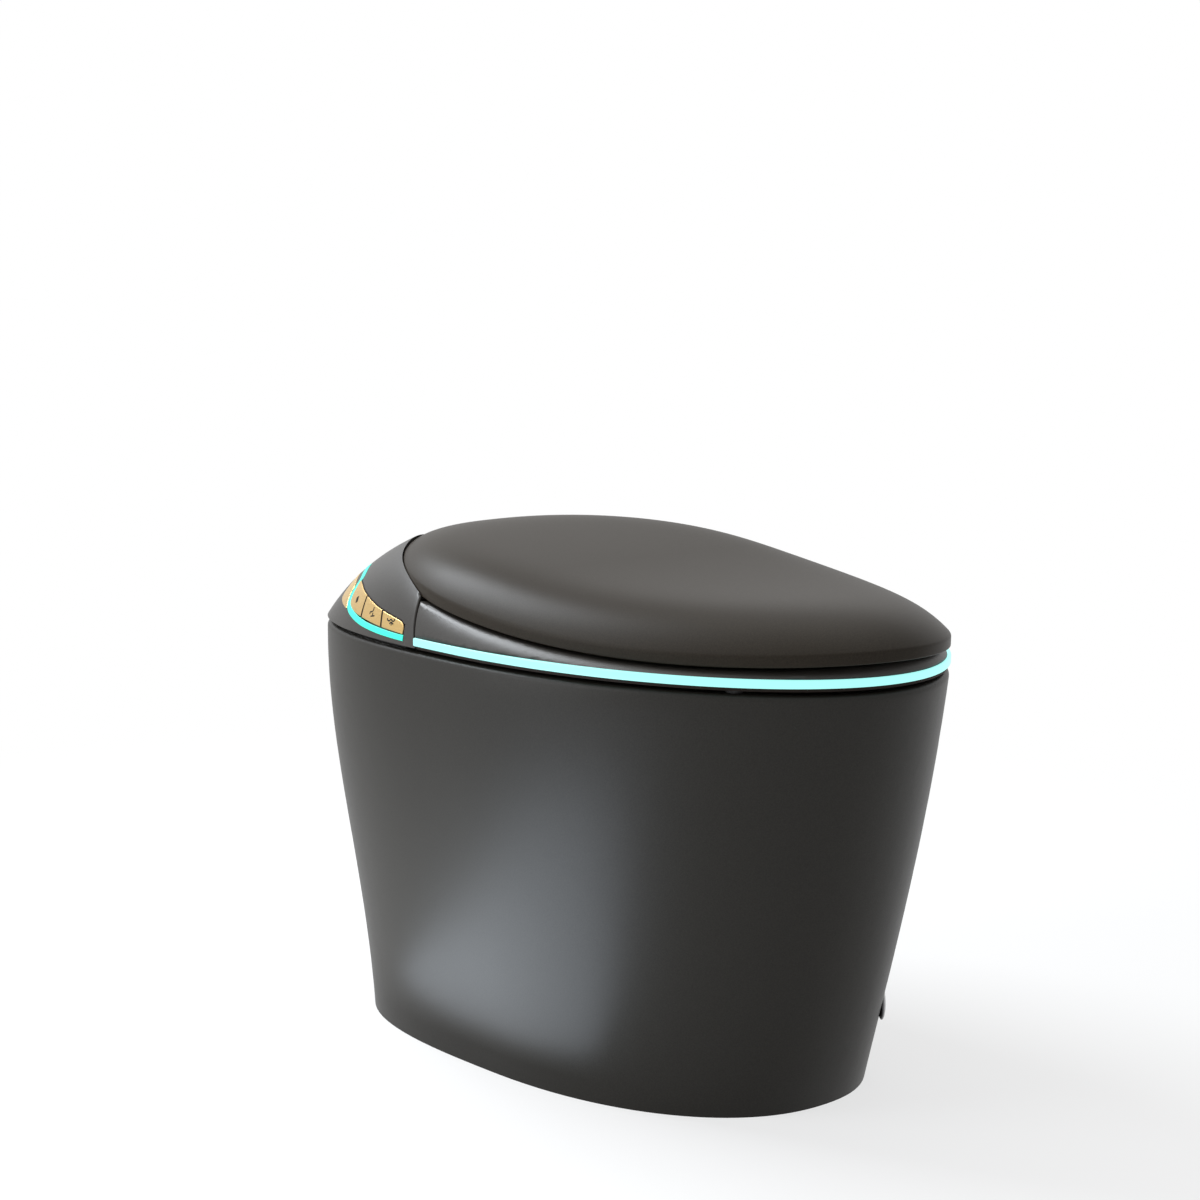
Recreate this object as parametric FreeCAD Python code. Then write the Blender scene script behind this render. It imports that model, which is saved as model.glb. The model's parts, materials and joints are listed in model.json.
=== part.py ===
import FreeCAD, Part
import math
import os
from collections import namedtuple
from functools import lru_cache

os.makedirs("parts", exist_ok=True)
V = FreeCAD.Vector

# Millimetres. +Z is up, the front of the bowl faces -Y, the wall side is +Y.
# The seated user's right hand is at -X, where the keys are.

# Plan outlines are eggs: two half superellipses joined at the widest place.
Egg = namedtuple("Egg", "half_width front rear middle front_power rear_power")
OUTLINE_POINTS = 48
SHARP_JOIN = 2

# Whole object
LENGTH = 678.0
BACK_Y = LENGTH / 2
HALF_WIDTH = 211.0
FAR = 2 * LENGTH
TRIM = 1.0

# Ceramic body
RIM_Z = 393.0
RIM_ROUND = 6.0
WALL = 12.0
DECK_T = 12.0
SKIRT_SHARES = (0, 1 / 3, 2 / 3, 1)
SKIRT_WIDTHS = (167.0, 182.0, 204.0, HALF_WIDTH)
SKIRT_FRONTS = (233.0, 270.0, 300.0, 328.0)
SKIRT_REARS = (325.0, 336.0, 348.0, 356.0)
SKIRT_MIDDLE = 36.0
SKIRT_FRONT_POWERS = (2.2, 2.13, 2.07, 2.0)
SKIRT_REAR_POWER = 2.8

# Bowl and trapway
BOWL_WALL = 11.0
BOWL_HEIGHTS = (RIM_Z, 300.0, 200.0, 120.0, 80.0)
BOWL_WIDTHS = (140.0, 126.0, 85.0, 42.0, 30.0)
BOWL_LENGTHS = (185.0, 165.0, 115.0, 55.0, 35.0)
BOWL_MIDDLES = (-87.0, -90.0, -95.0, -100.0, -100.0)
BOWL_POWER = 2.1
TRAP_BORE_R = 24.0
TRAP_WALL = 9.0
TRAP_BEND_R = 40.0
TRAP_START_Y = -110.0
TRAP_LOW_Z = 95.0
TRAP_RISE_DEG = 60.0
TRAP_CREST_Z = 170.0
OUTLET_Y = BACK_Y - 250.0
SEAL_WALL = 12.0
SEAL_H = 25.0

# Openings in the deck and in the back of the skirt
TANK_HALF_W = 112.0
TANK_FRONT_Y = 180.0
TANK_BACK_Y = 290.0
TANK_DEPTH = 178.0
TANK_WALL = 4.0
TANK_CLEAR = 4.0
TANK_FLANGE = 16.0
PAD_T = 3.0
NOTCH_HALF_W = 45.0
NOTCH_BACK_Y = 158.0
NOTCH_DEPTH = 41.0
SERVICE_X = 80.0
SERVICE_HALF_W = 40.0
SERVICE_Z = 270.0
SERVICE_HALF_H = 45.0
BASE_BOLT_X = 166.0
BASE_BOLT_Y = 150.0
BASE_BOLT_R = 5.0
BOLT_CLEAR = 1.0
BOLT_HEAD_R = 9.0
BOLT_HEAD_H = 6.0

# Flush parts under the deck
PUMP_R = 32.0
PUMP_H = 62.0
PUMP_NECK_R = 14.0
HOSE_Z = 320.0
HOSE_R = 15.0
HOSE_BORE_R = 12.0
VALVE_R = 16.0
VALVE_T = 9.0
INLET_BORE_R = 9.3
INLET_BORE_L = 15.0

# Lid
LID_EGG = Egg(198.0, LENGTH / 2, 240.0, 27.0, 1.9, 2.3)
LID_EDGE_FRONT_Z = 430.5
LID_EDGE_MID_Z = 435.5
LID_EDGE_REAR_Z = 482.0
LID_BAND = 10.0
LID_CROWN_FRONT = 36.5
LID_CROWN_REAR = 11.5
LID_CROWN_POWER = 7
LID_GRID = 33
LID_MARGIN = 8.0
LID_BORDER = 14.0
LID_SKIN = 4.0
LID_LINER_T = 2.5
LID_GAP = 3.0
LID_RECESS = 1.2
LID_ROUND = 2.5
FIT = 0.15
LID_PAD_R = 9.0
LID_PAD_PLACES = ((150.0, 0.0), (88.0, -230.0))

# Shoulder shared by the seat collar and the rear housing
SHOULDER_Z = 397.0
SHOULDER_EGG = Egg(HALF_WIDTH, 328.0, 356.0, 36.0, 2.0, 2.8)
SHOULDER_TOP_EGG = Egg(197.0, 322.0, 245.0, 27.0, 1.95, 2.45)
SHOULDER_TURN_SHARES = (0, 0.25, 0.5, 0.75, 1, 1.17)
SHOULDER_END_DEG = 61
SHOULDER_LEAN_DEG = 31
SHOULDER_LEAN_Y = (50.0, 180.0)
SHOULDER_LIFT = 11.0
SHOULDER_LIFT_X = (60.0, 105.0)
SHOULDER_CAP_Z = 530.0
SHOULDER_CAP_SHARE = 0.8
SEAM_LOW_Y = 86.0
SEAM_LOW_Z = 401.0
SEAM_HIGH_Y = 98.0
SEAM_HIGH_Z = 440.0
SEAM_GAP = 1.4
SEAM_ROUND = 2.0
SEAM_SAMPLES = 7

# Seat
SEAT_HOLE = Egg(112.0, 228.0, 54.0, -80.0, 2.1, 2.2)
SEAT_SKIN = 5.0
SEAT_BASE_T = 2.8
SEAT_BASE_Z = 396.2
SEAT_BASE_INSET = 1.5
SEAT_LIGHT_T = 7.5
SEAT_LIGHT_DEPTH = 3.0
SEAT_LIGHT_PROUD = 0.8
HEATER_T = 0.6
HEATER_EDGE = 12.0
SEAT_PAD_R = 8.0
SEAT_PAD_PLACES = ((190.0, 5.0), (120.0, -240.0), (160.0, 66.0))
SEAT_AXIS_Y = 176.0
SEAT_AXIS_Z = 440.0
SEAT_PIN_R = 4.0
SEAT_KNUCKLE_R = 9.0
SEAT_ARM_X = 86.0
SEAT_ARM_W = 34.0
SEAT_ARM_DEPTH = 20.0
ARM_CLEAR = 3.0
ARM_FLOOR_Z = 417.0
RUN_FIT = 0.05
PIN_SEAT = 0.02

# Lid hinge
LID_AXIS_Y = 228.0
LID_AXIS_Z = 475.0
LID_PIN_R = 3.0
LID_PIN_L = 42.0
LID_TOWER_X = 45.0
LID_TOWER_W = 16.0
LID_TOWER_T = 7.0
LID_KNUCKLE_R = 5.0
LID_NOTCH_CLEAR = 1.2
POCKET_Z = 460.0
POCKET_HALF_W = 62.0
POCKET_FRONT_Y = 212.0
POCKET_GAP = 2.8
LID_TURN_R = 8.0
LID_TURN_HALF_W = 92.0

# Base plate and rear housing
BASE_Z = RIM_Z + PAD_T
BASE_T = 4.0
BASE_TOP = BASE_Z + BASE_T
BASE_INSET = 9.0
BASE_FRONT_Y = 112.0
BASE_NOTCH_X = (-24.0, 45.0)
BASE_NOTCH_Y = 172.0
GASKET_W = 14.0
SHELL_T = 3.5
SEAT_TOWER_W = 10.0
SEAT_TOWER_D = 16.0
BOSS_R = 7.0
BOSS_PLACES = ((150.0, 208.0), (62.0, 311.0))
SCREW_R = 2.0
SCREW_HEAD_R = 4.0
SCREW_HEAD_T = 2.5
SCREW_L = 16.0
GLAND_X = 30.0
GLAND_Z = 403.6
GLAND_R = 3.8
GLAND_L = 8.4
GLAND_FLANGE_R = 5.4
GLAND_FLANGE_T = 3.0

# Hinge helpers
DAMPER_R = 9.0
DAMPER_L = 24.0
DRIVE_D = 24.0
DRIVE_TOP_Z = 452.0

# Control panel, laid out on its own plane: t runs back, b runs up the slope
PANEL_CENTRE = V(-194.0, 177.0, 422.0)
PANEL_NORMAL = V(-0.885, 0.194, 0.424)
PANEL_REACH = 60.0
PANEL_L = 80.0
PANEL_H = 40.0
LIGHT_T_SHARES = (-0.91, 0.1, 0.46, 0.7, 0.75, 1.07)
LIGHT_B_SHARES = (-0.42, -0.4, -0.22, 0.1, 0.52, 0.97)
LIGHT_TURN = 2
LIGHT_APEX = 4
PANEL_LIGHT_W = 3.5
PANEL_FRAME_W = 3.0
KEY_TOP_T_SHARES = (-0.9, -0.35, 0.2, 0.62)
KEY_TOP_B_SHARES = (-0.1, 0.03, 0.23, 0.5)
KEY_SPLIT_SHARES = (-0.92, -0.38, 0.16, 0.68)
KEY_SLANT_SHARE = 0.36
KEYS = len(KEY_SPLIT_SHARES) - 1
KEY_GROOVE = 2.0
KEY_LOW_GAP = 3.2
KEY_T = 3.0
KEY_PROUD = 0.5
KEY_FIT = 0.4
TRIM_W = 16.0
STEM_R = 3.0
MEMBRANE_DEPTH = 12.6
STEM_GAP = 1.4
MEMBRANE_T = 1.5
BOARD_T = 1.6
BOARD_HALF_T = 58.0
BOARD_HALF_B = 11.0
SLEEVE_WALL = 2.0

# Wash nozzle, laid out along its own slope and then tilted
NOZZLE_TILT_DEG = 22.0
NOZZLE_TIP = V(0, 112.0, 388.0)
NOZZLE_R = 8.0
NOZZLE_L = 108.0
SPRAY_R = 0.9
SPRAY_FROM_TIP = 9.0
SPRAY_PITCH = 4.0
BAR_HALF_W = 2.0
BAR_START = 14.0
BAR_RISE = 1.5
GUIDE_START = 14.0
GUIDE_END = 100.0
GUIDE_CLEAR = 0.3
GUIDE_WALL = 2.7
GUIDE_SLOT_HALF_W = 3.8
GUIDE_LEG_HALF_W = 6.0
GUIDE_LEG_Y = (188.0, 200.0)
WHEEL_PLACE = 26.0
WHEEL_R = 6.0
WHEEL_HALF_W = 3.0
WHEEL_GAP = 0.1
WHEEL_SHAFT_R = 1.5
WHEEL_SHAFT_L = 16.0
MOTOR_R = 9.0
MOTOR_X = (-42.0, -14.0)
MOTOR_LEG_X = (-42.0, -28.0)
MOTOR_LEG_HALF_D = 6.0

# Dryer
DUCT_X = (17.0, 41.0)
DUCT_START = -2.0
DUCT_END = 92.0
DUCT_HALF_H = 9.0
DUCT_WALL = 2.0
PLENUM_X = 70.0
PLENUM_Y = (192.5, 213.0)
PLENUM_TOP = 428.0
FLAP_T = 1.6
FLAP_GAP = 0.6
FLAP_ROD_R = 1.2
BLOWER_X = 106.0
BLOWER_Y = 226.0
BLOWER_R = 34.0
BLOWER_WALL = 2.0
IMPELLER_R = 28.0
IMPELLER_GAP = 2.5
IMPELLER_DISC_T = 2.0
BLADES = 14
BLADE_T = 1.2
BLADE_L = 9.0
HUB_R = 6.0
FAN_SHAFT_R = 2.0
FAN_SHAFT_L = 8.0
FAN_MOTOR_R = 14.0
FAN_MOTOR_H = 16.0
INTAKES = 6
INTAKE_R = 4.0
INTAKE_RING_R = 22.0

# Boxes on the base plate: x, y and height ranges
HEATER_BOX = ((-140.0, -80.0), (196.0, 246.0), 32.0)
VALVE_BOX = ((-95.0, -30.0), (256.0, 284.0), 24.0)
CASE_BOX = ((-10.0, 75.0), (252.0, 284.0), 30.0)
CARTRIDGE_BOX = ((84.0, 122.0), (264.0, 282.0), 22.0)
BOX_ROUND = 3.0
CASE_WALL = 2.0
MAIN_BOARD_T = 2.0
WASH_HOSE_R = 3.5
WASH_HOSE_Y = 201.0
WASH_HOSE_Z = 423.0
FEED_HOSE_X = -88.0
FEED_HOSE_Z = 412.0

# Foot sensor
SENSOR_Z = 70.0
SENSOR_ANGLE_DEG = -68.5
SENSOR_HALF_W = 24.0
SENSOR_HALF_H = 15.0
SENSOR_BULGE = 4.0
SENSOR_STEM_R = 8.0
SENSOR_HOLE_CLEAR = 0.3
SENSOR_STEM_L = 16.0
SENSOR_BOARD_T = 2.0
SENSOR_BOARD_HALF = 14.0


# Shape helpers
def grown(egg, by):
    return egg._replace(half_width=egg.half_width + by, front=egg.front + by, rear=egg.rear + by)


def egg_radius(egg, angle):
    across = abs(math.cos(angle)) / egg.half_width
    if math.sin(angle) > 0:
        along = math.sin(angle) / (egg.rear - egg.middle)
        power = egg.rear_power
    else:
        along = -math.sin(angle) / (egg.front + egg.middle)
        power = egg.front_power
    return (across**power + along**power) ** (-1 / power)


def egg_point(egg, angle, z=0):
    r = egg_radius(egg, angle)
    return V(r * math.cos(angle), egg.middle + r * math.sin(angle), z)


def turns():
    return [2 * math.pi * i / OUTLINE_POINTS for i in range(OUTLINE_POINTS)]


def closed_curve(points):
    """Closed smooth wire; every wire has the same evenly spaced parameters."""
    curve = Part.BSplineCurve()
    curve.interpolate(Points=points, PeriodicFlag=True, Parameters=list(range(len(points) + 1)))
    return Part.Wire(curve.toShape())


def egg_wire(egg, z):
    return closed_curve([egg_point(egg, a, z) for a in turns()])


def egg_prism(egg, z0, z1):
    return Part.Face(egg_wire(egg, z0)).extrude(V(0, 0, z1 - z0))


def box(x, y, z):
    return Part.makeBox(x[1] - x[0], y[1] - y[0], z[1] - z[0], V(x[0], y[0], z[0]))


def rod(start, axis, r, length):
    return Part.makeCylinder(r, length, start, axis)


def x_rod(x, y, z, r):
    return rod(V(x[0], y, z), V(1, 0, 0), r, x[1] - x[0])


def ring(x, y, z, outer, inner):
    height = z[1] - z[0]
    return rod(V(x, y, z[0]), V(0, 0, 1), outer, height).cut(rod(V(x, y, z[0]), V(0, 0, 1), inner, height))


def other_side(shape):
    return shape.mirror(V(0, 0, 0), V(1, 0, 0))


def pair(shape):
    return Part.makeCompound([shape, other_side(shape)])


def both(shape):
    return shape.fuse(other_side(shape))


def span(centre, width):
    return (centre - width / 2, centre + width / 2)


def round_box(x, y, z, r):
    block = box(x, y, z)
    upright = [e for e in block.Edges if e.Vertexes[0].Z != e.Vertexes[-1].Z]
    return block.makeFillet(r, upright)


# Ceramic body
def skirt_egg(share):
    """Outline at a share of the rim height, by straight steps between the four levels."""
    for i in range(len(SKIRT_SHARES) - 1):
        low, high = SKIRT_SHARES[i], SKIRT_SHARES[i + 1]
        if share <= high:
            k = (share - low) / (high - low)
            break

    def at(values):
        return values[i] + k * (values[i + 1] - values[i])

    return Egg(at(SKIRT_WIDTHS), at(SKIRT_FRONTS), at(SKIRT_REARS), SKIRT_MIDDLE, at(SKIRT_FRONT_POWERS),
               SKIRT_REAR_POWER)


@lru_cache
def skirt_solid(inset, top):
    wires = [egg_wire(grown(skirt_egg(s), -inset), s * top) for s in SKIRT_SHARES]
    solid = Part.makeLoft(wires, True, False)
    back = BACK_Y - inset
    return solid.cut(box((-FAR, FAR), (back, FAR), (-FAR, FAR)))


@lru_cache
def bowl_solid(grow):
    wires = []
    for z, w, l, y in zip(BOWL_HEIGHTS, BOWL_WIDTHS, BOWL_LENGTHS, BOWL_MIDDLES):
        egg = grown(Egg(w, l - y, l + y, y, BOWL_POWER, BOWL_POWER), grow)
        wires.append(egg_wire(egg, z if z == RIM_Z else z - grow))
    return Part.makeLoft(wires, True, False)


def trap_path():
    rise = math.radians(TRAP_RISE_DEG)
    crest = V(0, OUTLET_Y - TRAP_BEND_R, TRAP_CREST_Z)
    leg_top = crest + V(0, -math.sin(rise), math.cos(rise)) * TRAP_BEND_R
    low_turn_z = TRAP_LOW_Z + TRAP_BEND_R
    leg_low_z = low_turn_z - TRAP_BEND_R * math.cos(rise)
    leg_low = V(0, leg_top.y - (leg_top.z - leg_low_z) / math.tan(rise), leg_low_z)
    low_end = V(0, leg_low.y - TRAP_BEND_R * math.sin(rise), TRAP_LOW_Z)
    half = rise / 2
    low_mid = V(0, low_end.y + TRAP_BEND_R * math.sin(half), low_turn_z - TRAP_BEND_R * math.cos(half))
    over = (math.pi - rise) / 2
    crest_mid = crest + V(0, math.cos(over), math.sin(over)) * TRAP_BEND_R
    crest_end = crest + V(0, TRAP_BEND_R, 0)
    edges = [
        Part.makeLine(V(0, TRAP_START_Y, TRAP_LOW_Z), low_end),
        Part.Arc(low_end, low_mid, leg_low).toShape(),
        Part.makeLine(leg_low, leg_top),
        Part.Arc(leg_top, crest_mid, crest_end).toShape(),
        Part.makeLine(crest_end, V(0, OUTLET_Y, 0)),
    ]
    return Part.Wire(edges)


def trap_tube(r):
    start = Part.makeCircle(r, V(0, TRAP_START_Y, TRAP_LOW_Z), V(0, 1, 0))
    return trap_path().makePipeShell([Part.Wire(start)], True, False)


def sensor_frame():
    egg = skirt_egg(SENSOR_Z / RIM_Z)
    angle = math.radians(SENSOR_ANGLE_DEG)
    step = math.pi / OUTLINE_POINTS / OUTLINE_POINTS
    along = egg_point(egg, angle + step) - egg_point(egg, angle - step)
    outward = V(along.y, -along.x, 0).normalize()
    return egg_point(egg, angle, SENSOR_Z), outward


def ceramic_body():
    body = skirt_solid(0, RIM_Z)
    rim_edges = [e for e in body.Edges if e.BoundBox.ZMin > RIM_Z - TRIM]
    body = body.makeFillet(RIM_ROUND, rim_edges)
    body = body.cut(skirt_solid(WALL, RIM_Z - DECK_T))
    body = body.fuse(bowl_solid(BOWL_WALL).common(skirt_solid(WALL, RIM_Z)))
    tube = trap_tube(TRAP_BORE_R + TRAP_WALL)
    body = body.fuse(tube).cut(bowl_solid(0)).cut(trap_tube(TRAP_BORE_R))
    opening_x = TANK_HALF_W + TANK_CLEAR
    opening_y = (TANK_FRONT_Y - TANK_CLEAR, TANK_BACK_Y + TANK_CLEAR)
    body = body.cut(box((-opening_x, opening_x), opening_y, (RIM_Z - 2 * DECK_T, FAR)))
    notch_y = (BOWL_MIDDLES[0], NOTCH_BACK_Y)
    body = body.cut(box((-NOTCH_HALF_W, NOTCH_HALF_W), notch_y, (RIM_Z - NOTCH_DEPTH, FAR)))
    body = body.cut(box(span(SERVICE_X, 2 * SERVICE_HALF_W), (BACK_Y - 2 * WALL, FAR),
                        span(SERVICE_Z, 2 * SERVICE_HALF_H)))
    bolt_hole = rod(V(BASE_BOLT_X, BASE_BOLT_Y, RIM_Z - 2 * DECK_T), V(0, 0, 1), BASE_BOLT_R + BOLT_CLEAR, FAR)
    body = body.cut(bolt_hole).cut(other_side(bolt_hole))
    body = body.cut(rod(V(0, BOWL_MIDDLES[0], HOSE_Z), V(0, 1, 0), HOSE_R, TANK_FRONT_Y - BOWL_MIDDLES[0]))
    place, outward = sensor_frame()
    hole_r = SENSOR_STEM_R + SENSOR_HOLE_CLEAR
    return body.cut(rod(place + outward * WALL, outward * -1, hole_r, 3 * WALL))


def outlet_seal():
    r = TRAP_BORE_R + TRAP_WALL
    return ring(0, OUTLET_Y, (0, SEAL_H), r + SEAL_WALL, r)


# Flush parts
def flush_tank():
    x = (-TANK_HALF_W, TANK_HALF_W)
    y = (TANK_FRONT_Y, TANK_BACK_Y)
    low = RIM_Z - TANK_DEPTH
    tub = round_box(x, y, (low, RIM_Z + PAD_T), TANK_FLANGE)
    flange = round_box((x[0] - TANK_FLANGE, x[1] + TANK_FLANGE), (y[0] - TANK_FLANGE, y[1] + TANK_FLANGE),
                       (RIM_Z, RIM_Z + PAD_T), TANK_FLANGE)
    inner = round_box((x[0] + TANK_WALL, x[1] - TANK_WALL), (y[0] + TANK_WALL, y[1] - TANK_WALL),
                      (low + TANK_WALL, FAR), TANK_FLANGE - TANK_WALL)
    hose_hole = rod(V(0, TANK_FRONT_Y, HOSE_Z), V(0, 1, 0), HOSE_BORE_R, TANK_WALL)
    inlet_hole = rod(V(SERVICE_X, TANK_BACK_Y - TANK_WALL, SERVICE_Z), V(0, 1, 0), INLET_BORE_R / 2, TANK_WALL)
    return tub.fuse(flange).cut(inner).cut(hose_hole).cut(inlet_hole)


def flush_pump():
    floor_z = RIM_Z - TANK_DEPTH + TANK_WALL
    y = (TANK_FRONT_Y + TANK_BACK_Y) / 2
    body = rod(V(0, y, floor_z), V(0, 0, 1), PUMP_R, PUMP_H)
    riser = rod(V(0, y, floor_z), V(0, 0, 1), PUMP_NECK_R, HOSE_Z - floor_z)
    elbow = Part.makeSphere(PUMP_NECK_R, V(0, y, HOSE_Z))
    wall_y = TANK_FRONT_Y + TANK_WALL
    neck = rod(V(0, wall_y, HOSE_Z), V(0, 1, 0), PUMP_NECK_R, y - wall_y)
    return body.fuse(riser).fuse(elbow).fuse(neck).removeSplitter()


def flush_hose():
    bowl_back = BOWL_MIDDLES[0] + BOWL_LENGTHS[1]
    length = TANK_FRONT_Y - bowl_back
    start = V(0, bowl_back, HOSE_Z)
    tube = rod(start, V(0, 1, 0), HOSE_R, length).cut(rod(start, V(0, 1, 0), HOSE_BORE_R, length))
    return tube.cut(bowl_solid(0))


def fill_valve():
    start = V(SERVICE_X, TANK_BACK_Y, SERVICE_Z)
    length = INLET_BORE_L + VALVE_T
    body = rod(start, V(0, 1, 0), VALVE_R, length)
    collar = rod(start, V(0, 1, 0), VALVE_R + VALVE_T, VALVE_T)
    bore = rod(start + V(0, VALVE_T, 0), V(0, 1, 0), INLET_BORE_R, INLET_BORE_L)
    through = rod(start, V(0, 1, 0), INLET_BORE_R / 2, VALVE_T)
    return body.fuse(collar).cut(bore).cut(through)


# Lid surfaces: the edge follows one parabola along the length
def lid_edge_curve():
    """Slope and bend of the parabola through the edge's front, middle and rear heights."""
    front = (LID_EDGE_FRONT_Z - LID_EDGE_MID_Z) / -LID_EGG.front
    rear = (LID_EDGE_REAR_Z - LID_EDGE_MID_Z) / LID_EGG.rear
    bend = (rear - front) / (LID_EGG.rear + LID_EGG.front)
    return rear - bend * LID_EGG.rear, bend


def lid_edge_z(y):
    slope, bend = lid_edge_curve()
    return LID_EDGE_MID_Z + slope * y + bend * y * y


@lru_cache
def below_lid(offset):
    """Everything under the lid edge's parabola moved up by offset, as a wide block."""
    y0, y1 = -LENGTH, LENGTH
    slope, bend = lid_edge_curve()
    lift = V(0, 0, offset)
    start = V(-LENGTH, y0, lid_edge_z(y0)) + lift
    end = V(-LENGTH, y1, lid_edge_z(y1)) + lift
    pole = V(-LENGTH, 0, start.z + (slope + 2 * bend * y0) * (0 - y0))
    curve = Part.BezierCurve()
    curve.setPoles([start, pole, end])
    low_start, low_end = V(-LENGTH, y0, -LENGTH), V(-LENGTH, y1, -LENGTH)
    outline = [curve.toShape(), Part.makeLine(end, low_end), Part.makeLine(low_end, low_start),
               Part.makeLine(low_start, start)]
    return Part.Face(Part.Wire(outline)).extrude(V(2 * LENGTH, 0, 0))


def lid_reach(x, y):
    """0 at the lid's widest place and 1 all along its outline."""
    angle = math.atan2(y - LID_EGG.middle, x)
    return math.hypot(x, y - LID_EGG.middle) / egg_radius(LID_EGG, angle)


def lid_top_z(x, y):
    back = max(y / LID_EGG.rear, 0)
    crown = LID_CROWN_FRONT + (LID_CROWN_REAR - LID_CROWN_FRONT) * back * back
    reach = lid_reach(x, y)
    if reach < 1:
        return lid_edge_z(y) + crown * (1 - reach**LID_CROWN_POWER)
    return lid_edge_z(y) - crown * LID_CROWN_POWER * (reach - 1)


@lru_cache
def below_dome(offset):
    half = LID_EGG.half_width + LID_MARGIN
    front = -LID_EGG.front - LID_MARGIN
    rear = LID_EGG.rear + LID_MARGIN
    steps = [i / (LID_GRID - 1) for i in range(LID_GRID)]
    rows = []
    for k in steps:
        y = front + k * (rear - front)
        rows.append([V((2 * s - 1) * half, y, lid_top_z((2 * s - 1) * half, y) + offset) for s in steps])
    surface = Part.BSplineSurface()
    surface.interpolate(rows)
    return surface.toShape().extrude(V(0, 0, -LENGTH))


def lid_body(inset, drop):
    """Lid outline drawn in by inset, under the dome lowered by drop, above the lid's bottom."""
    prism = egg_prism(grown(LID_EGG, -inset), SHOULDER_Z, SHOULDER_CAP_Z)
    return prism.common(below_dome(-drop)).cut(below_lid(-LID_BAND))


def lid_notch():
    reach = LID_KNUCKLE_R + LID_NOTCH_CLEAR
    x = span(LID_TOWER_X, LID_TOWER_W + 2 * LID_NOTCH_CLEAR)
    return box(x, (LID_AXIS_Y - reach, LENGTH), (0, SHOULDER_CAP_Z))


def lid_pin(r):
    return x_rod(span(LID_TOWER_X, LID_PIN_L), LID_AXIS_Y, LID_AXIS_Z, r)


def lid_shell():
    shell = lid_body(0, 0)
    top_edges = [e for e in shell.Edges if e.BoundBox.ZMax > LID_EDGE_REAR_Z - LID_BAND / 2 and e.Length > LENGTH]
    shell = shell.makeFillet(LID_ROUND, top_edges)
    shell = shell.cut(lid_body(LID_BORDER, LID_SKIN))
    for cutter in (lid_notch(), lid_pin(LID_PIN_R + RUN_FIT)):
        shell = shell.cut(cutter).cut(other_side(cutter))
    return shell


def lid_liner():
    prism = egg_prism(grown(LID_EGG, -LID_BORDER - FIT), SHOULDER_Z, SHOULDER_CAP_Z)
    plate = prism.common(below_lid(LID_LINER_T - LID_BAND)).cut(below_lid(-LID_BAND))
    return plate.cut(lid_notch()).cut(other_side(lid_notch()))


def lid_bumpers():
    pads = []
    for x, y in LID_PAD_PLACES:
        pad = rod(V(x, y, 0), V(0, 0, 1), LID_PAD_R, LENGTH)
        pad = pad.common(below_lid(-LID_BAND)).cut(below_lid(FIT - LID_BAND - LID_GAP))
        pads += [pad, other_side(pad)]
    return Part.makeCompound(pads)


def lid_pins():
    return pair(lid_pin(LID_PIN_R))


# Shoulder: the surface from the rim outline up to the lid's edge
def ease(value, limits):
    """A smooth step from 0 at the first limit to 1 at the second."""
    k = min(max((value - limits[0]) / (limits[1] - limits[0]), 0), 1)
    return k * k * (3 - 2 * k)


@lru_cache
def shoulder_solid(inset):
    """A flank that follows a share of a quarter round, steep in front and leaning in behind,
    where it also stands up beside the lid, with a plain cap above."""
    end = math.radians(SHOULDER_END_DEG)
    foot = grown(SHOULDER_EGG, -inset)
    top = grown(SHOULDER_TOP_EGG, -inset)
    foot_z = SHOULDER_Z - inset

    def flank_point(angle, share):
        p = egg_point(foot, angle)
        q = egg_point(top, angle)
        lean = ease(p.y, SHOULDER_LEAN_Y)
        start = lean * math.radians(SHOULDER_LEAN_DEG)
        turn = start + share * (end - start)
        inward = (math.cos(start) - math.cos(turn)) / (math.cos(start) - math.cos(end))
        upward = (math.sin(turn) - math.sin(start)) / (math.sin(end) - math.sin(start))
        lift = SHOULDER_LIFT * lean * ease(abs(q.x), SHOULDER_LIFT_X)
        top_z = lid_edge_z(q.y) - LID_BAND - LID_GAP + lift - inset
        flat = p + (q - p) * inward
        return V(flat.x, flat.y, foot_z + upward * (top_z - foot_z))

    flank = [closed_curve([flank_point(a, s) for a in turns()]) for s in SHOULDER_TURN_SHARES]
    cap = closed_curve([egg_point(top, a) * SHOULDER_CAP_SHARE + V(0, 0, SHOULDER_CAP_Z) for a in turns()])
    faces = Part.makeLoft(flank, False, False).Faces + Part.makeLoft([flank[-1], cap], False, True).Faces
    faces += [Part.Face(flank[0]), Part.Face(cap)]
    shell = Part.makeShell(faces)
    shell.sewShape()
    return Part.makeSolid(shell)


def seam_y(z, shift):
    lean = (SEAM_HIGH_Y - SEAM_LOW_Y) / (SEAM_HIGH_Z - SEAM_LOW_Z)
    return SEAM_LOW_Y + shift + lean * (z - SEAM_LOW_Z)


def behind_seam(shift):
    """Everything behind the leaning seam between seat and housing, moved back by shift."""
    low_y, high_y = seam_y(0, shift), seam_y(LENGTH, shift)
    corners = [V(-LENGTH, low_y, 0), V(-LENGTH, high_y, LENGTH), V(-LENGTH, LENGTH, LENGTH), V(-LENGTH, LENGTH, 0)]
    return Part.Face(Part.makePolygon(corners + corners[:1])).extrude(V(2 * LENGTH, 0, 0))


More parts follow.
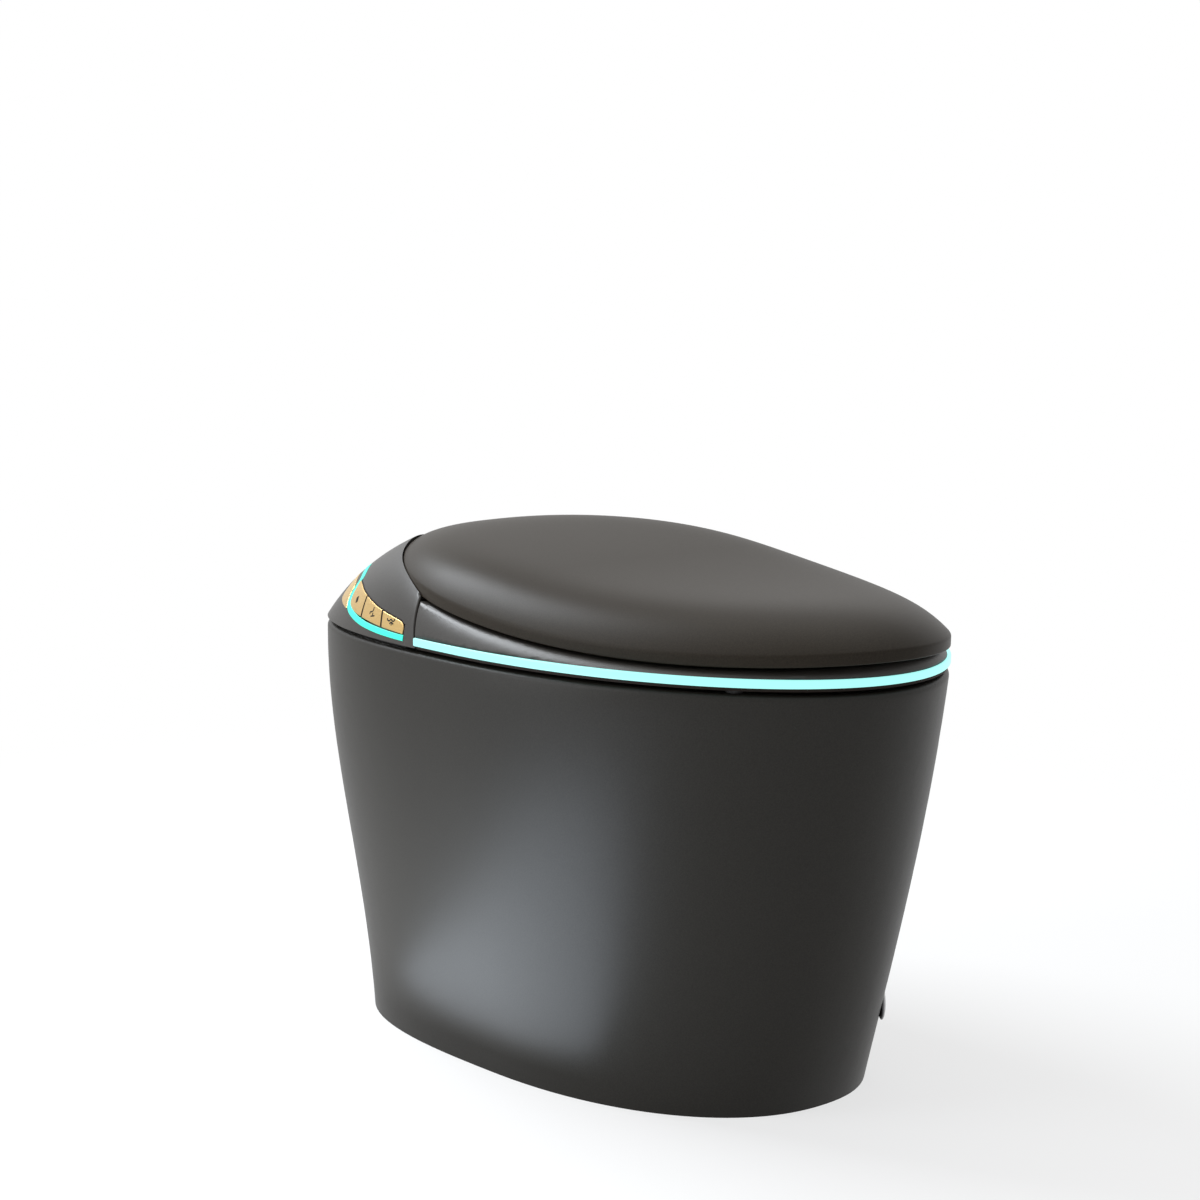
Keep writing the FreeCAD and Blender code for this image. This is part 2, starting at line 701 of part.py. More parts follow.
def soften_seam(block, shift):
    """Rounds the two outer edges that run up along the seam."""
    edges = []
    for edge in block.Edges:
        miss = max(abs(p.y - seam_y(p.z, shift)) for p in edge.discretize(SEAM_SAMPLES))
        reach = max(abs(edge.BoundBox.XMin), abs(edge.BoundBox.XMax))
        if miss < FIT and reach > LID_EGG.half_width and edge.BoundBox.ZLength > LID_BAND:
            edges.append(edge)
    return block.makeFillet(SEAM_ROUND, edges)


# Seat
def seat_arm(grow):
    """Arm from the back of the ring to the knuckle on the seat pin."""
    x = span(SEAT_ARM_X, SEAT_ARM_W + 2 * grow)
    top = below_lid(-LID_BAND - LID_GAP)
    z = (SEAT_AXIS_Z - SEAT_ARM_DEPTH, SEAT_AXIS_Z + SEAT_KNUCKLE_R)
    arm = box(x, (SEAM_LOW_Y, SEAT_AXIS_Y), z).common(top)
    knuckle = x_rod(x, SEAT_AXIS_Y, SEAT_AXIS_Z, SEAT_KNUCKLE_R)
    return arm.fuse(knuckle)


def seat_block(inset, top_drop):
    block = shoulder_solid(inset).common(below_lid(-LID_BAND - LID_GAP - top_drop))
    return block.cut(behind_seam(-inset))


def seat_shell():
    floor_z = SEAT_BASE_Z + SEAT_BASE_T
    block = soften_seam(seat_block(0, 0), 0).cut(box((-FAR, FAR), (-FAR, FAR), (-FAR, floor_z)))
    block = block.cut(egg_prism(SEAT_HOLE, 0, SHOULDER_CAP_Z))
    cavity = seat_block(SEAT_SKIN + SEAT_LIGHT_DEPTH, SEAT_SKIN)
    cavity = cavity.cut(egg_prism(grown(SEAT_HOLE, SEAT_SKIN), 0, SHOULDER_CAP_Z))
    shell = block.cut(cavity)
    groove = egg_prism(grown(SHOULDER_EGG, SEAT_SKIN), floor_z, floor_z + SEAT_LIGHT_T)
    groove = groove.cut(egg_prism(grown(SHOULDER_EGG, -SEAT_LIGHT_DEPTH), floor_z, floor_z + SEAT_LIGHT_T))
    shell = shell.cut(groove)
    shell = shell.fuse(both(seat_arm(0)).cut(seat_block(0, 0)))
    hole = x_rod(span(SEAT_ARM_X, 2 * SEAT_ARM_W), SEAT_AXIS_Y, SEAT_AXIS_Z, SEAT_PIN_R + RUN_FIT)
    return shell.cut(hole).cut(other_side(hole))


def seat_base():
    z = (SEAT_BASE_Z, SEAT_BASE_Z + SEAT_BASE_T)
    plate = egg_prism(grown(SHOULDER_EGG, -SEAT_BASE_INSET), *z).cut(egg_prism(SEAT_HOLE, *z))
    return plate.cut(behind_seam(0))


def seat_light():
    z = (SEAT_BASE_Z + SEAT_BASE_T, SEAT_BASE_Z + SEAT_BASE_T + SEAT_LIGHT_T)
    band = egg_prism(grown(SHOULDER_EGG, SEAT_LIGHT_PROUD), *z)
    band = band.cut(egg_prism(grown(SHOULDER_EGG, -SEAT_LIGHT_DEPTH), *z))
    return band.cut(behind_seam(0))


def seat_heater():
    drop = LID_BAND + LID_GAP + SEAT_SKIN + FIT
    sheet = egg_prism(grown(SHOULDER_TOP_EGG, -2 * HEATER_EDGE), 0, SHOULDER_CAP_Z)
    sheet = sheet.cut(egg_prism(grown(SEAT_HOLE, HEATER_EDGE), 0, SHOULDER_CAP_Z))
    sheet = sheet.common(below_lid(-drop)).cut(below_lid(-drop - HEATER_T))
    return sheet.cut(behind_seam(-2 * HEATER_EDGE))


def seat_bumpers():
    pads = []
    for x, y in SEAT_PAD_PLACES:
        pad = rod(V(x, y, RIM_Z), V(0, 0, 1), SEAT_PAD_R, SEAT_BASE_Z - RIM_Z)
        pads += [pad, other_side(pad)]
    return Part.makeCompound(pads)


def seat_pin_x():
    half = SEAT_ARM_W / 2 + ARM_CLEAR + SHELL_T
    return (SEAT_ARM_X - half - SEAT_TOWER_W, SEAT_ARM_X + half + SEAT_TOWER_W)


def seat_pins():
    return pair(x_rod(seat_pin_x(), SEAT_AXIS_Y, SEAT_AXIS_Z, SEAT_PIN_R))


def seat_dampers():
    x0 = seat_pin_x()[1]
    return pair(x_rod((x0, x0 + DAMPER_L), SEAT_AXIS_Y, SEAT_AXIS_Z, DAMPER_R))


# Base plate
def base_outline(inset, z0, z1):
    plate = egg_prism(grown(SHOULDER_EGG, -inset), z0, z1)
    plate = plate.common(box((-FAR, FAR), (BASE_FRONT_Y, BACK_Y - inset), (0, FAR)))
    return plate.cut(box(BASE_NOTCH_X, (0, BASE_NOTCH_Y), (0, FAR)))


def tower(x, y, top, knuckle_r):
    post = box(x, y, (BASE_Z, top))
    return post.fuse(x_rod(x, (y[0] + y[1]) / 2, top, knuckle_r))


def base_plate():
    plate = base_outline(BASE_INSET, BASE_Z, BASE_TOP)
    ends = seat_pin_x()
    seat_y = span(SEAT_AXIS_Y, SEAT_TOWER_D)
    for x in ((ends[0], ends[0] + SEAT_TOWER_W), (ends[1] - SEAT_TOWER_W, ends[1])):
        plate = plate.fuse(both(tower(x, seat_y, SEAT_AXIS_Z, SEAT_TOWER_D / 2)))
    lid_x = span(LID_TOWER_X, LID_TOWER_W)
    plate = plate.fuse(both(tower(lid_x, span(LID_AXIS_Y, LID_TOWER_T), LID_AXIS_Z, LID_KNUCKLE_R)))
    holes = [x_rod(ends, SEAT_AXIS_Y, SEAT_AXIS_Z, SEAT_PIN_R + PIN_SEAT), lid_pin(LID_PIN_R + PIN_SEAT)]
    holes.append(rod(V(BASE_BOLT_X, BASE_BOLT_Y, 0), V(0, 0, 1), BASE_BOLT_R + BOLT_CLEAR, FAR))
    holes += [rod(V(x, y, 0), V(0, 0, 1), SCREW_R + BOLT_CLEAR, FAR) for x, y in BOSS_PLACES]
    for hole in holes:
        plate = plate.cut(hole).cut(other_side(hole))
    return plate


def deck_gasket():
    z = (RIM_Z, BASE_Z)
    strip = base_outline(BASE_INSET, *z).cut(base_outline(BASE_INSET + GASKET_W, *z))
    strip = strip.cut(box((-NOTCH_HALF_W - GASKET_W, NOTCH_HALF_W + GASKET_W), (0, BASE_NOTCH_Y), (0, FAR)))
    flange_x = TANK_HALF_W + TANK_FLANGE
    flange_y = (TANK_FRONT_Y - TANK_FLANGE, TANK_BACK_Y + TANK_FLANGE)
    strip = strip.cut(box((-flange_x, flange_x), flange_y, (0, FAR)))
    hole = rod(V(BASE_BOLT_X, BASE_BOLT_Y, 0), V(0, 0, 1), BASE_BOLT_R + BOLT_CLEAR, FAR)
    strip = strip.cut(hole).cut(other_side(hole))
    return Part.makeCompound(strip.Solids)


def base_bolts():
    under = RIM_Z - DECK_T
    place = V(BASE_BOLT_X, BASE_BOLT_Y, 0)
    up = V(0, 0, 1)
    bolt = rod(place + up * (under - BOLT_HEAD_H), up, BASE_BOLT_R, BASE_TOP + BOLT_HEAD_H - under)
    bolt = bolt.fuse(rod(place + up * BASE_TOP, up, BOLT_HEAD_R, BOLT_HEAD_H))
    bolt = bolt.fuse(rod(place + up * (under - BOLT_HEAD_H), up, BOLT_HEAD_R, BOLT_HEAD_H))
    return pair(bolt)


# Rear housing
def hinge_pocket(grow):
    """Deeper part of the lid's recess, where the lid's rear edge turns down."""
    pocket = egg_prism(grown(LID_EGG, POCKET_GAP + grow), POCKET_Z - grow, SHOULDER_CAP_Z)
    half = POCKET_HALF_W + grow
    return pocket.common(box((-half, half), (POCKET_FRONT_Y - grow, FAR), (0, FAR)))


def arm_well(grow):
    half = ARM_CLEAR + grow
    x = span(SEAT_ARM_X, SEAT_ARM_W + 2 * half)
    y = (0, SEAT_AXIS_Y + SEAT_KNUCKLE_R + half)
    return box(x, y, (ARM_FLOOR_Z - grow, LENGTH))


def housing_block(inset):
    """Shoulder behind the seam, with the lid's recess, the hinge pocket and the arm wells cut."""
    block = shoulder_solid(inset).common(behind_seam(SEAM_GAP + inset))
    block = block.cut(box((-FAR, FAR), (BACK_Y - inset, FAR), (0, FAR)))
    recess = egg_prism(grown(LID_EGG, LID_RECESS + inset), SHOULDER_Z, SHOULDER_CAP_Z)
    recess = recess.cut(below_lid(-LID_BAND - LID_GAP - inset))
    block = block.cut(recess).cut(hinge_pocket(inset))
    return block.cut(arm_well(inset)).cut(other_side(arm_well(inset)))


def boss(r):
    top = housing_block(SHELL_T / 2)
    posts = [rod(V(x, y, BASE_TOP), V(0, 0, 1), r, LENGTH).common(top) for x, y in BOSS_PLACES]
    return [both(p) for p in posts]


def tower_slot():
    slot_y = span(LID_AXIS_Y, LID_TOWER_T + 2 * ARM_CLEAR)
    return box(span(LID_TOWER_X, LID_TOWER_W + 2 * LID_NOTCH_CLEAR), slot_y, (DRIVE_TOP_Z, LENGTH))


def rear_housing():
    shell = soften_seam(housing_block(0), SEAM_GAP).cut(both(tower_slot())).cut(housing_block(SHELL_T))
    shell = shell.cut(x_rod((-LID_TURN_HALF_W, LID_TURN_HALF_W), LID_AXIS_Y, LID_AXIS_Z, LID_TURN_R))
    for post in boss(BOSS_R):
        shell = shell.fuse(post)
    cutters = [rod(V(x, y, 0), V(0, 0, 1), SCREW_R + PIN_SEAT, BASE_TOP + SCREW_L) for x, y in BOSS_PLACES]
    cutters.append(x_rod(seat_pin_x(), SEAT_AXIS_Y, SEAT_AXIS_Z, SEAT_PIN_R + BOLT_CLEAR))
    for cutter in cutters:
        shell = shell.cut(cutter).cut(other_side(cutter))
    shell = shell.cut(panel_prism(window_outline()))
    return shell.cut(rod(V(GLAND_X, BACK_Y - GLAND_L, GLAND_Z), V(0, 1, 0), GLAND_R, GLAND_L))


def housing_screws():
    screws = []
    for x, y in BOSS_PLACES:
        head = rod(V(x, y, BASE_Z - SCREW_HEAD_T), V(0, 0, 1), SCREW_HEAD_R, SCREW_HEAD_T)
        screw = head.fuse(rod(V(x, y, BASE_Z), V(0, 0, 1), SCREW_R, SCREW_L))
        screws += [screw, other_side(screw)]
    return Part.makeCompound(screws)


def power_gland():
    inner_y = BACK_Y - SHELL_T
    flange = rod(V(GLAND_X, inner_y - GLAND_FLANGE_T, GLAND_Z), V(0, 1, 0), GLAND_FLANGE_R, GLAND_FLANGE_T)
    body = rod(V(GLAND_X, BACK_Y - GLAND_L, GLAND_Z), V(0, 1, 0), GLAND_R - PIN_SEAT, GLAND_L)
    return body.fuse(flange)


# Control panel
def panel_axes():
    normal = V(PANEL_NORMAL).normalize()
    along = normal.cross(V(0, 0, 1)).normalize()
    return along, along.cross(normal), normal


def panel_point(t, b, depth=0):
    along, up, normal = panel_axes()
    return PANEL_CENTRE + along * t + up * b - normal * depth


def panel_prism(outline, grow=0):
    """Outline on the panel plane, grown by some width and run through the flank along the panel's normal."""
    corners = [panel_point(t, b, -PANEL_REACH / 2) for t, b in outline]
    wire = Part.makePolygon(corners + corners[:1])
    if grow:
        wire = wire.makeOffset2D(grow, SHARP_JOIN)
    return Part.Face(wire).extrude(panel_axes()[2] * -PANEL_REACH)


def shifted(line, by):
    """A line of points moved sideways to the right of its own direction."""
    moved = []
    for i, (t, b) in enumerate(line):
        before = line[max(i - 1, 0)]
        after = line[min(i + 1, len(line) - 1)]
        run = math.hypot(after[0] - before[0], after[1] - before[1])
        moved.append((t + by * (after[1] - before[1]) / run, b - by * (after[0] - before[0]) / run))
    return moved


def light_line():
    return [(t * PANEL_L, b * PANEL_H) for t, b in zip(LIGHT_T_SHARES, LIGHT_B_SHARES)]


def band_outline(near, far):
    return shifted(light_line(), near) + shifted(light_line(), far)[::-1]


def key_foot_line():
    return shifted(light_line(), -KEY_LOW_GAP)[:LIGHT_APEX + 1]


def key_top_line():
    return [(t * PANEL_L, b * PANEL_H) for t, b in zip(KEY_TOP_T_SHARES, KEY_TOP_B_SHARES)]


def height_at(line, t):
    """b of a line of points at a place t along it."""
    for (t0, b0), (t1, b1) in zip(line, line[1:]):
        if t0 <= t <= t1:
            return b0 + (b1 - b0) * (t - t0) / (t1 - t0)
    return line[-1][1]


def window_outline():
    margin = PANEL_LIGHT_W / 2 + PANEL_FRAME_W
    outer = shifted(light_line(), margin)
    wide = shifted(light_line(), margin + TRIM_W)
    outer[LIGHT_TURN + 1:LIGHT_APEX + 1] = wide[LIGHT_TURN + 1:LIGHT_APEX + 1]
    inner_end = shifted(light_line(), -margin)[-1]
    top = [(t, b + PANEL_FRAME_W) for t, b in key_top_line()[::-1]]
    front_t = outer[0][0] - PANEL_FRAME_W
    return outer + [inner_end] + top + [(front_t, top[-1][1]), (front_t, outer[0][1])]


def key_slot(number, grow):
    """Slanted strip of the panel between two grooves."""
    half = KEY_GROOVE / 2 - grow
    left = KEY_SPLIT_SHARES[number] * PANEL_L + half
    right = KEY_SPLIT_SHARES[number + 1] * PANEL_L - half
    slant = KEY_SLANT_SHARE * PANEL_H
    corners = [(left - slant, -PANEL_H), (right - slant, -PANEL_H), (right + slant, PANEL_H), (left + slant, PANEL_H)]
    return panel_prism(corners)


def key_prism(number, grow):
    return panel_prism(key_foot_line() + key_top_line()[::-1], grow).common(key_slot(number, grow))


@lru_cache
def flank(proud, depth):
    """Layer of the shoulder from proud outside its surface to depth inside it."""
    return shoulder_solid(-proud).cut(shoulder_solid(depth))


def stem_place(number, depth):
    """Middle of a key, at a depth under the panel plane."""
    t = (KEY_SPLIT_SHARES[number] + KEY_SPLIT_SHARES[number + 1]) / 2 * PANEL_L
    b = (height_at(key_foot_line(), t) + height_at(key_top_line(), t)) / 2
    return panel_point(t, b, depth)


def key(number):
    cap = flank(KEY_PROUD, KEY_T).common(key_prism(number, 0))
    foot = stem_place(number, MEMBRANE_DEPTH - STEM_GAP)
    stem = rod(foot, panel_axes()[2], STEM_R, PANEL_REACH).common(shoulder_solid(KEY_T / 2))
    return cap.fuse(stem).removeSplitter()


def panel_block(half_t, half_b, near, far):
    outline = [(-half_t, -half_b), (half_t, -half_b), (half_t, half_b), (-half_t, half_b)]
    corners = [panel_point(t, b, near) for t, b in outline]
    return Part.Face(Part.makePolygon(corners + corners[:1])).extrude(panel_axes()[2] * (near - far))


def key_bezel():
    window = panel_prism(window_outline())
    plate = flank(0, SHELL_T).common(window)
    sleeve = panel_block(BOARD_HALF_T + SLEEVE_WALL, BOARD_HALF_B + SLEEVE_WALL, 0, MEMBRANE_DEPTH)
    sleeve = sleeve.cut(panel_block(BOARD_HALF_T - SLEEVE_WALL, BOARD_HALF_B - SLEEVE_WALL, 0, MEMBRANE_DEPTH))
    bezel = plate.fuse(sleeve.common(shoulder_solid(SHELL_T + FIT)))
    bezel = bezel.fuse(sleeve.common(window).common(shoulder_solid(SHELL_T / 2)))
    for number in range(KEYS):
        bezel = bezel.cut(key_prism(number, KEY_FIT).cut(shoulder_solid(2 * SHELL_T)))
        bezel = bezel.cut(rod(stem_place(number, MEMBRANE_DEPTH), panel_axes()[2], STEM_R + KEY_FIT, PANEL_REACH))
    for outline in (band_outline(-PANEL_LIGHT_W / 2, PANEL_LIGHT_W / 2), trim_outline()):
        bezel = bezel.cut(panel_prism(outline).cut(shoulder_solid(KEY_T / 2)))
    return max(bezel.Solids, key=lambda s: s.Volume)


def panel_light():
    return flank(0, KEY_T / 2).common(panel_prism(band_outline(-PANEL_LIGHT_W / 2, PANEL_LIGHT_W / 2)))


def trim_outline():
    near = shifted(light_line(), PANEL_LIGHT_W / 2 + KEY_GROOVE)[LIGHT_TURN:]
    far = shifted(light_line(), PANEL_LIGHT_W / 2 + TRIM_W)[LIGHT_TURN + 1:LIGHT_APEX + 1]
    return near + far[::-1]


def panel_trim():
    return flank(KEY_PROUD, KEY_T / 2).common(panel_prism(trim_outline()))


def key_membrane():
    return panel_block(BOARD_HALF_T, BOARD_HALF_B, MEMBRANE_DEPTH, MEMBRANE_DEPTH + MEMBRANE_T)


def key_board():
    near = MEMBRANE_DEPTH + MEMBRANE_T
    return panel_block(BOARD_HALF_T, BOARD_HALF_B, near, near + BOARD_T)


# Wash nozzle
def tilted(shape):
    shape = shape.copy()
    shape.rotate(V(0, 0, 0), V(1, 0, 0), NOZZLE_TILT_DEG)
    shape.translate(NOZZLE_TIP)
    return shape


def wash_nozzle():
    body = rod(V(0, 0, 0), V(0, 1, 0), NOZZLE_R, NOZZLE_L)
    bar = box((-BAR_HALF_W, BAR_HALF_W), (BAR_START, NOZZLE_L), (0, NOZZLE_R + BAR_RISE))
    body = body.fuse(bar)
    for i in range(2):
        place = V(0, SPRAY_FROM_TIP + i * SPRAY_PITCH - SPRAY_PITCH, NOZZLE_R / 2)
        body = body.cut(rod(place, V(0, 0, 1), SPRAY_R, NOZZLE_R))
    return tilted(body)


def nozzle_guide():
    start = V(0, GUIDE_START, 0)
    length = GUIDE_END - GUIDE_START
    bore = NOZZLE_R + GUIDE_CLEAR
    tube = rod(start, V(0, 1, 0), bore + GUIDE_WALL, length)
    bore_rod = rod(V(0, 0, 0), V(0, 1, 0), bore, NOZZLE_L)
    slot = box((-GUIDE_SLOT_HALF_W, GUIDE_SLOT_HALF_W), (0, NOZZLE_L), (0, 2 * NOZZLE_R))
    leg = box((-GUIDE_LEG_HALF_W, GUIDE_LEG_HALF_W), GUIDE_LEG_Y, (BASE_TOP, BASE_TOP + 2 * NOZZLE_R))
    return tilted(tube).fuse(leg).cut(tilted(bore_rod)).cut(tilted(slot))


def wheel_centre():
    return V(0, WHEEL_PLACE, NOZZLE_R + BAR_RISE + WHEEL_GAP + WHEEL_R)


def nozzle_wheel():
    c = wheel_centre()
    tyre = x_rod((-WHEEL_HALF_W, WHEEL_HALF_W), c.y, c.z, WHEEL_R)
    shaft = x_rod((-WHEEL_SHAFT_L - WHEEL_HALF_W, 0), c.y, c.z, WHEEL_SHAFT_R)
    return tilted(tyre.fuse(shaft))


def nozzle_motor():
    c = wheel_centre()
    body = tilted(x_rod(MOTOR_X, c.y, c.z, MOTOR_R))
    middle = body.CenterOfMass
    leg = box(MOTOR_LEG_X, span(middle.y, 2 * MOTOR_LEG_HALF_D), (BASE_TOP, middle.z))
    bore = tilted(x_rod((-WHEEL_SHAFT_L - 2 * WHEEL_HALF_W, 0), c.y, c.z, WHEEL_SHAFT_R + RUN_FIT))
    return body.fuse(leg).cut(bore)


# Dryer
def dryer_duct():
    w = DUCT_WALL
    tube = tilted(box(DUCT_X, (DUCT_START, DUCT_END), (-DUCT_HALF_H, DUCT_HALF_H)))
    hollow = tilted(box((DUCT_X[0] + w, DUCT_X[1] - w), (DUCT_START, DUCT_END), (w - DUCT_HALF_H, DUCT_HALF_H - w)))
    z = (BASE_TOP, PLENUM_TOP)
    plenum = box((DUCT_X[0], PLENUM_X), PLENUM_Y, z)
    room = box((DUCT_X[0] + w, PLENUM_X), (PLENUM_Y[0] + w, PLENUM_Y[1] - w), (z[0] + w, z[1] - w))
    return tube.fuse(plenum).cut(hollow).cut(room)


def dryer_flap():
    y = DUCT_START - FLAP_GAP - FLAP_T
    plate = box(DUCT_X, (y, y + FLAP_T), (-DUCT_HALF_H, DUCT_HALF_H))
    rod_y = y + FLAP_T / 2
    return tilted(plate.fuse(x_rod(DUCT_X, rod_y, DUCT_HALF_H, FLAP_ROD_R)))


def blower_z():
    return (BASE_TOP, PLENUM_TOP)


def dryer_blower():
    low, high = blower_z()
    w = BLOWER_WALL
    drum = rod(V(BLOWER_X, BLOWER_Y, low), V(0, 0, 1), BLOWER_R, high - low)
    room = rod(V(BLOWER_X, BLOWER_Y, low + w), V(0, 0, 1), BLOWER_R - w, high - low - 2 * w)
    y = (PLENUM_Y[0] + w, PLENUM_Y[1] - w)
    spout = box((PLENUM_X, BLOWER_X), (y[0] + w, y[1]), (low, high - w))
    throat = box((PLENUM_X, BLOWER_X), (y[0] + 2 * w, y[1] - w), (low + w, high - 2 * w))
    case = drum.fuse(spout).cut(room).cut(throat)
    case = case.cut(rod(V(BLOWER_X, BLOWER_Y, high - w), V(0, 0, 1), 2 * FAN_SHAFT_R, w))
    for i in range(INTAKES):
        a = 2 * math.pi * i / INTAKES
        place = V(BLOWER_X + INTAKE_RING_R * math.cos(a), BLOWER_Y + INTAKE_RING_R * math.sin(a), high - w)
        case = case.cut(rod(place, V(0, 0, 1), INTAKE_R, w))
    return case


def dryer_impeller():
    low, high = blower_z()
    floor_z = low + BLOWER_WALL + IMPELLER_GAP
    top_z = high - BLOWER_WALL - IMPELLER_GAP
    centre = V(BLOWER_X, BLOWER_Y, floor_z)
    wheel = rod(centre, V(0, 0, 1), IMPELLER_R, IMPELLER_DISC_T)
    wheel = wheel.fuse(rod(centre, V(0, 0, 1), HUB_R, top_z - floor_z))
    wheel = wheel.fuse(rod(centre, V(0, 0, 1), FAN_SHAFT_R, high - floor_z + FAN_SHAFT_L))
    x = (BLOWER_X + IMPELLER_R - BLADE_L, BLOWER_X + IMPELLER_R - BLADE_T)
    blade = box(x, span(BLOWER_Y, BLADE_T), (floor_z, top_z))
    for i in range(BLADES):
        wheel = wheel.fuse(blade.rotated(centre, V(0, 0, 1), 360 * i / BLADES))
    return wheel


def dryer_motor():
    high = blower_z()[1]
    place = V(BLOWER_X, BLOWER_Y, high)
    body = rod(place, V(0, 0, 1), FAN_MOTOR_R, FAN_MOTOR_H)
    return body.cut(rod(place, V(0, 0, 1), FAN_SHAFT_R + RUN_FIT, FAN_SHAFT_L + FAN_SHAFT_R))


# Units on the base plate
def unit(sizes, inset=0):
    x, y, height = sizes
    z = (BASE_TOP + inset, BASE_TOP + height - inset)
    return round_box((x[0] + inset, x[1] - inset), (y[0] + inset, y[1] - inset), z, BOX_ROUND - inset)


def main_board():
    x, y, height = CASE_BOX
    w = CASE_WALL
    low = BASE_TOP + w
    return box((x[0] + w, x[1] - w), (y[0] + w, y[1] - w), (low, low + MAIN_BOARD_T)).common(unit(CASE_BOX, w))


def lid_drive():
    inner = LID_TOWER_X - LID_TOWER_W / 2
    return box((-inner, inner), span(LID_AXIS_Y, DRIVE_D), (BASE_TOP, DRIVE_TOP_Z))


def wash_hoses():
    guide_side = -NOZZLE_R - GUIDE_CLEAR - GUIDE_WALL
    wash = x_rod((HEATER_BOX[0][1], guide_side), WASH_HOSE_Y, WASH_HOSE_Z, WASH_HOSE_R)
    rear = HEATER_BOX[1][1]
    feed = rod(V(FEED_HOSE_X, rear, FEED_HOSE_Z), V(0, 1, 0), WASH_HOSE_R, VALVE_BOX[1][0] - rear)
    return Part.makeCompound([wash, feed])


# Foot sensor
def foot_sensor_lens():
    place, outward = sensor_frame()
    cap = Part.makeSphere(SENSOR_HALF_W)
    shape = FreeCAD.Matrix()
    shape.scale(SENSOR_BULGE / SENSOR_HALF_W, 1, SENSOR_HALF_H / SENSOR_HALF_W)
    cap = cap.transformGeometry(shape)
    cap.rotate(V(0, 0, 0), V(0, 0, 1), math.degrees(math.atan2(outward.y, outward.x)))
    cap.translate(place)
    cap = cap.cut(skirt_solid(0, RIM_Z))
    stem = rod(place + outward * (SENSOR_BULGE / 2), outward * -1, SENSOR_STEM_R, SENSOR_STEM_L + SENSOR_BULGE / 2)
    return cap.fuse(stem)


def foot_sensor_board():
    place, outward = sensor_frame()
    half = SENSOR_BOARD_HALF
    board = box((-SENSOR_STEM_L - SENSOR_BOARD_T, -SENSOR_STEM_L), (-half, half), (-half, half))
    board.rotate(V(0, 0, 0), V(0, 0, 1), math.degrees(math.atan2(outward.y, outward.x)))
    board.translate(place)
    return board


NODES = {
    "ceramic_body": ceramic_body,
    "outlet_seal": outlet_seal,
    "flush_tank": flush_tank,
    "flush_pump": flush_pump,
    "flush_hose": flush_hose,
    "fill_valve": fill_valve,
    "deck_gasket": deck_gasket,
    "base_plate": base_plate,
    "base_bolts": base_bolts,
    "rear_housing": rear_housing,
    "housing_screws": housing_screws,
    "power_gland": power_gland,
    "lid_shell": lid_shell,
    "lid_liner": lid_liner,
    "lid_bumpers": lid_bumpers,
    "lid_pins": lid_pins,
    "lid_drive": lid_drive,
    "seat_shell": seat_shell,
    "seat_base": seat_base,
    "seat_light": seat_light,
    "seat_heater": seat_heater,
    "seat_bumpers": seat_bumpers,
    "seat_pins": seat_pins,
    "seat_dampers": seat_dampers,
    "key_bezel": key_bezel,
    "key_front_wash": lambda: key(0),
    "key_rear_wash": lambda: key(1),
    "key_stop": lambda: key(2),
    "panel_light": panel_light,
    "panel_trim": panel_trim,
    "key_membrane": key_membrane,
    "key_board": key_board,
    "wash_nozzle": wash_nozzle,
    "nozzle_guide": nozzle_guide,
    "nozzle_wheel": nozzle_wheel,
    "nozzle_motor": nozzle_motor,
    "dryer_duct": dryer_duct,
    "dryer_flap": dryer_flap,
    "dryer_blower": dryer_blower,
    "dryer_impeller": dryer_impeller,
    "dryer_motor": dryer_motor,
    "water_heater": lambda: unit(HEATER_BOX),
    "valve_block": lambda: unit(VALVE_BOX),
    "board_case": lambda: unit(CASE_BOX).cut(unit(CASE_BOX, CASE_WALL)),
    "main_board": main_board,
    "deodor_cartridge": lambda: unit(CARTRIDGE_BOX),
    "wash_hoses": wash_hoses,
    "foot_sensor_lens": foot_sensor_lens,
    "foot_sensor_board": foot_sensor_board,
}

for node, make in NODES.items():
    shape = make()
    shape.exportStep(f"parts/{node}.step")
    print(node, "valid" if shape.isValid() else "not valid", len(shape.Solids), "solids")
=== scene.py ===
"""Looks of a floor-standing smart toilet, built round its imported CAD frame.

Lengths are millimetres in the CAD's own frame: +Z is up, the bowl's front is at -Y and the keys are at -X.
"""
import json
import math
from collections import namedtuple

import bmesh
import bpy
import numpy as np
from mathutils import Matrix, Vector


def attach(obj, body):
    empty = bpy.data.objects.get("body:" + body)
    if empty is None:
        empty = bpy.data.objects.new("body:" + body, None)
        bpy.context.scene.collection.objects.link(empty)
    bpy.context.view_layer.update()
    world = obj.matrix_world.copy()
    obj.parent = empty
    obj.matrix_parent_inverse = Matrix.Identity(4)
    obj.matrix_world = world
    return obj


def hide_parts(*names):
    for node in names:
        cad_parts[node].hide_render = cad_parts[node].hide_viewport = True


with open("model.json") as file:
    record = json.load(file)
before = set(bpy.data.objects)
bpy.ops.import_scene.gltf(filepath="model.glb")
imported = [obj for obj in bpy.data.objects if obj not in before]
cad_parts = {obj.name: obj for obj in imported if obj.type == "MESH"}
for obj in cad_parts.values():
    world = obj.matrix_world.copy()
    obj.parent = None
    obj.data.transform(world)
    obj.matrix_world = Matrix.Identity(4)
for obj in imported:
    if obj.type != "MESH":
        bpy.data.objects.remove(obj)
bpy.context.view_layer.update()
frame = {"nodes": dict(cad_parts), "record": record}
nodes = frame["nodes"]

MM = 0.001
MERGE = 1e-6
SHARP_DEG = 35
CAD_SHARP_DEG = 30
ROUND_STEPS = 360
CORNER_STEPS = 5

# Plan outlines are eggs: two half superellipses joined at the widest place.
Egg = namedtuple("Egg", "half_width front rear middle front_power rear_power")

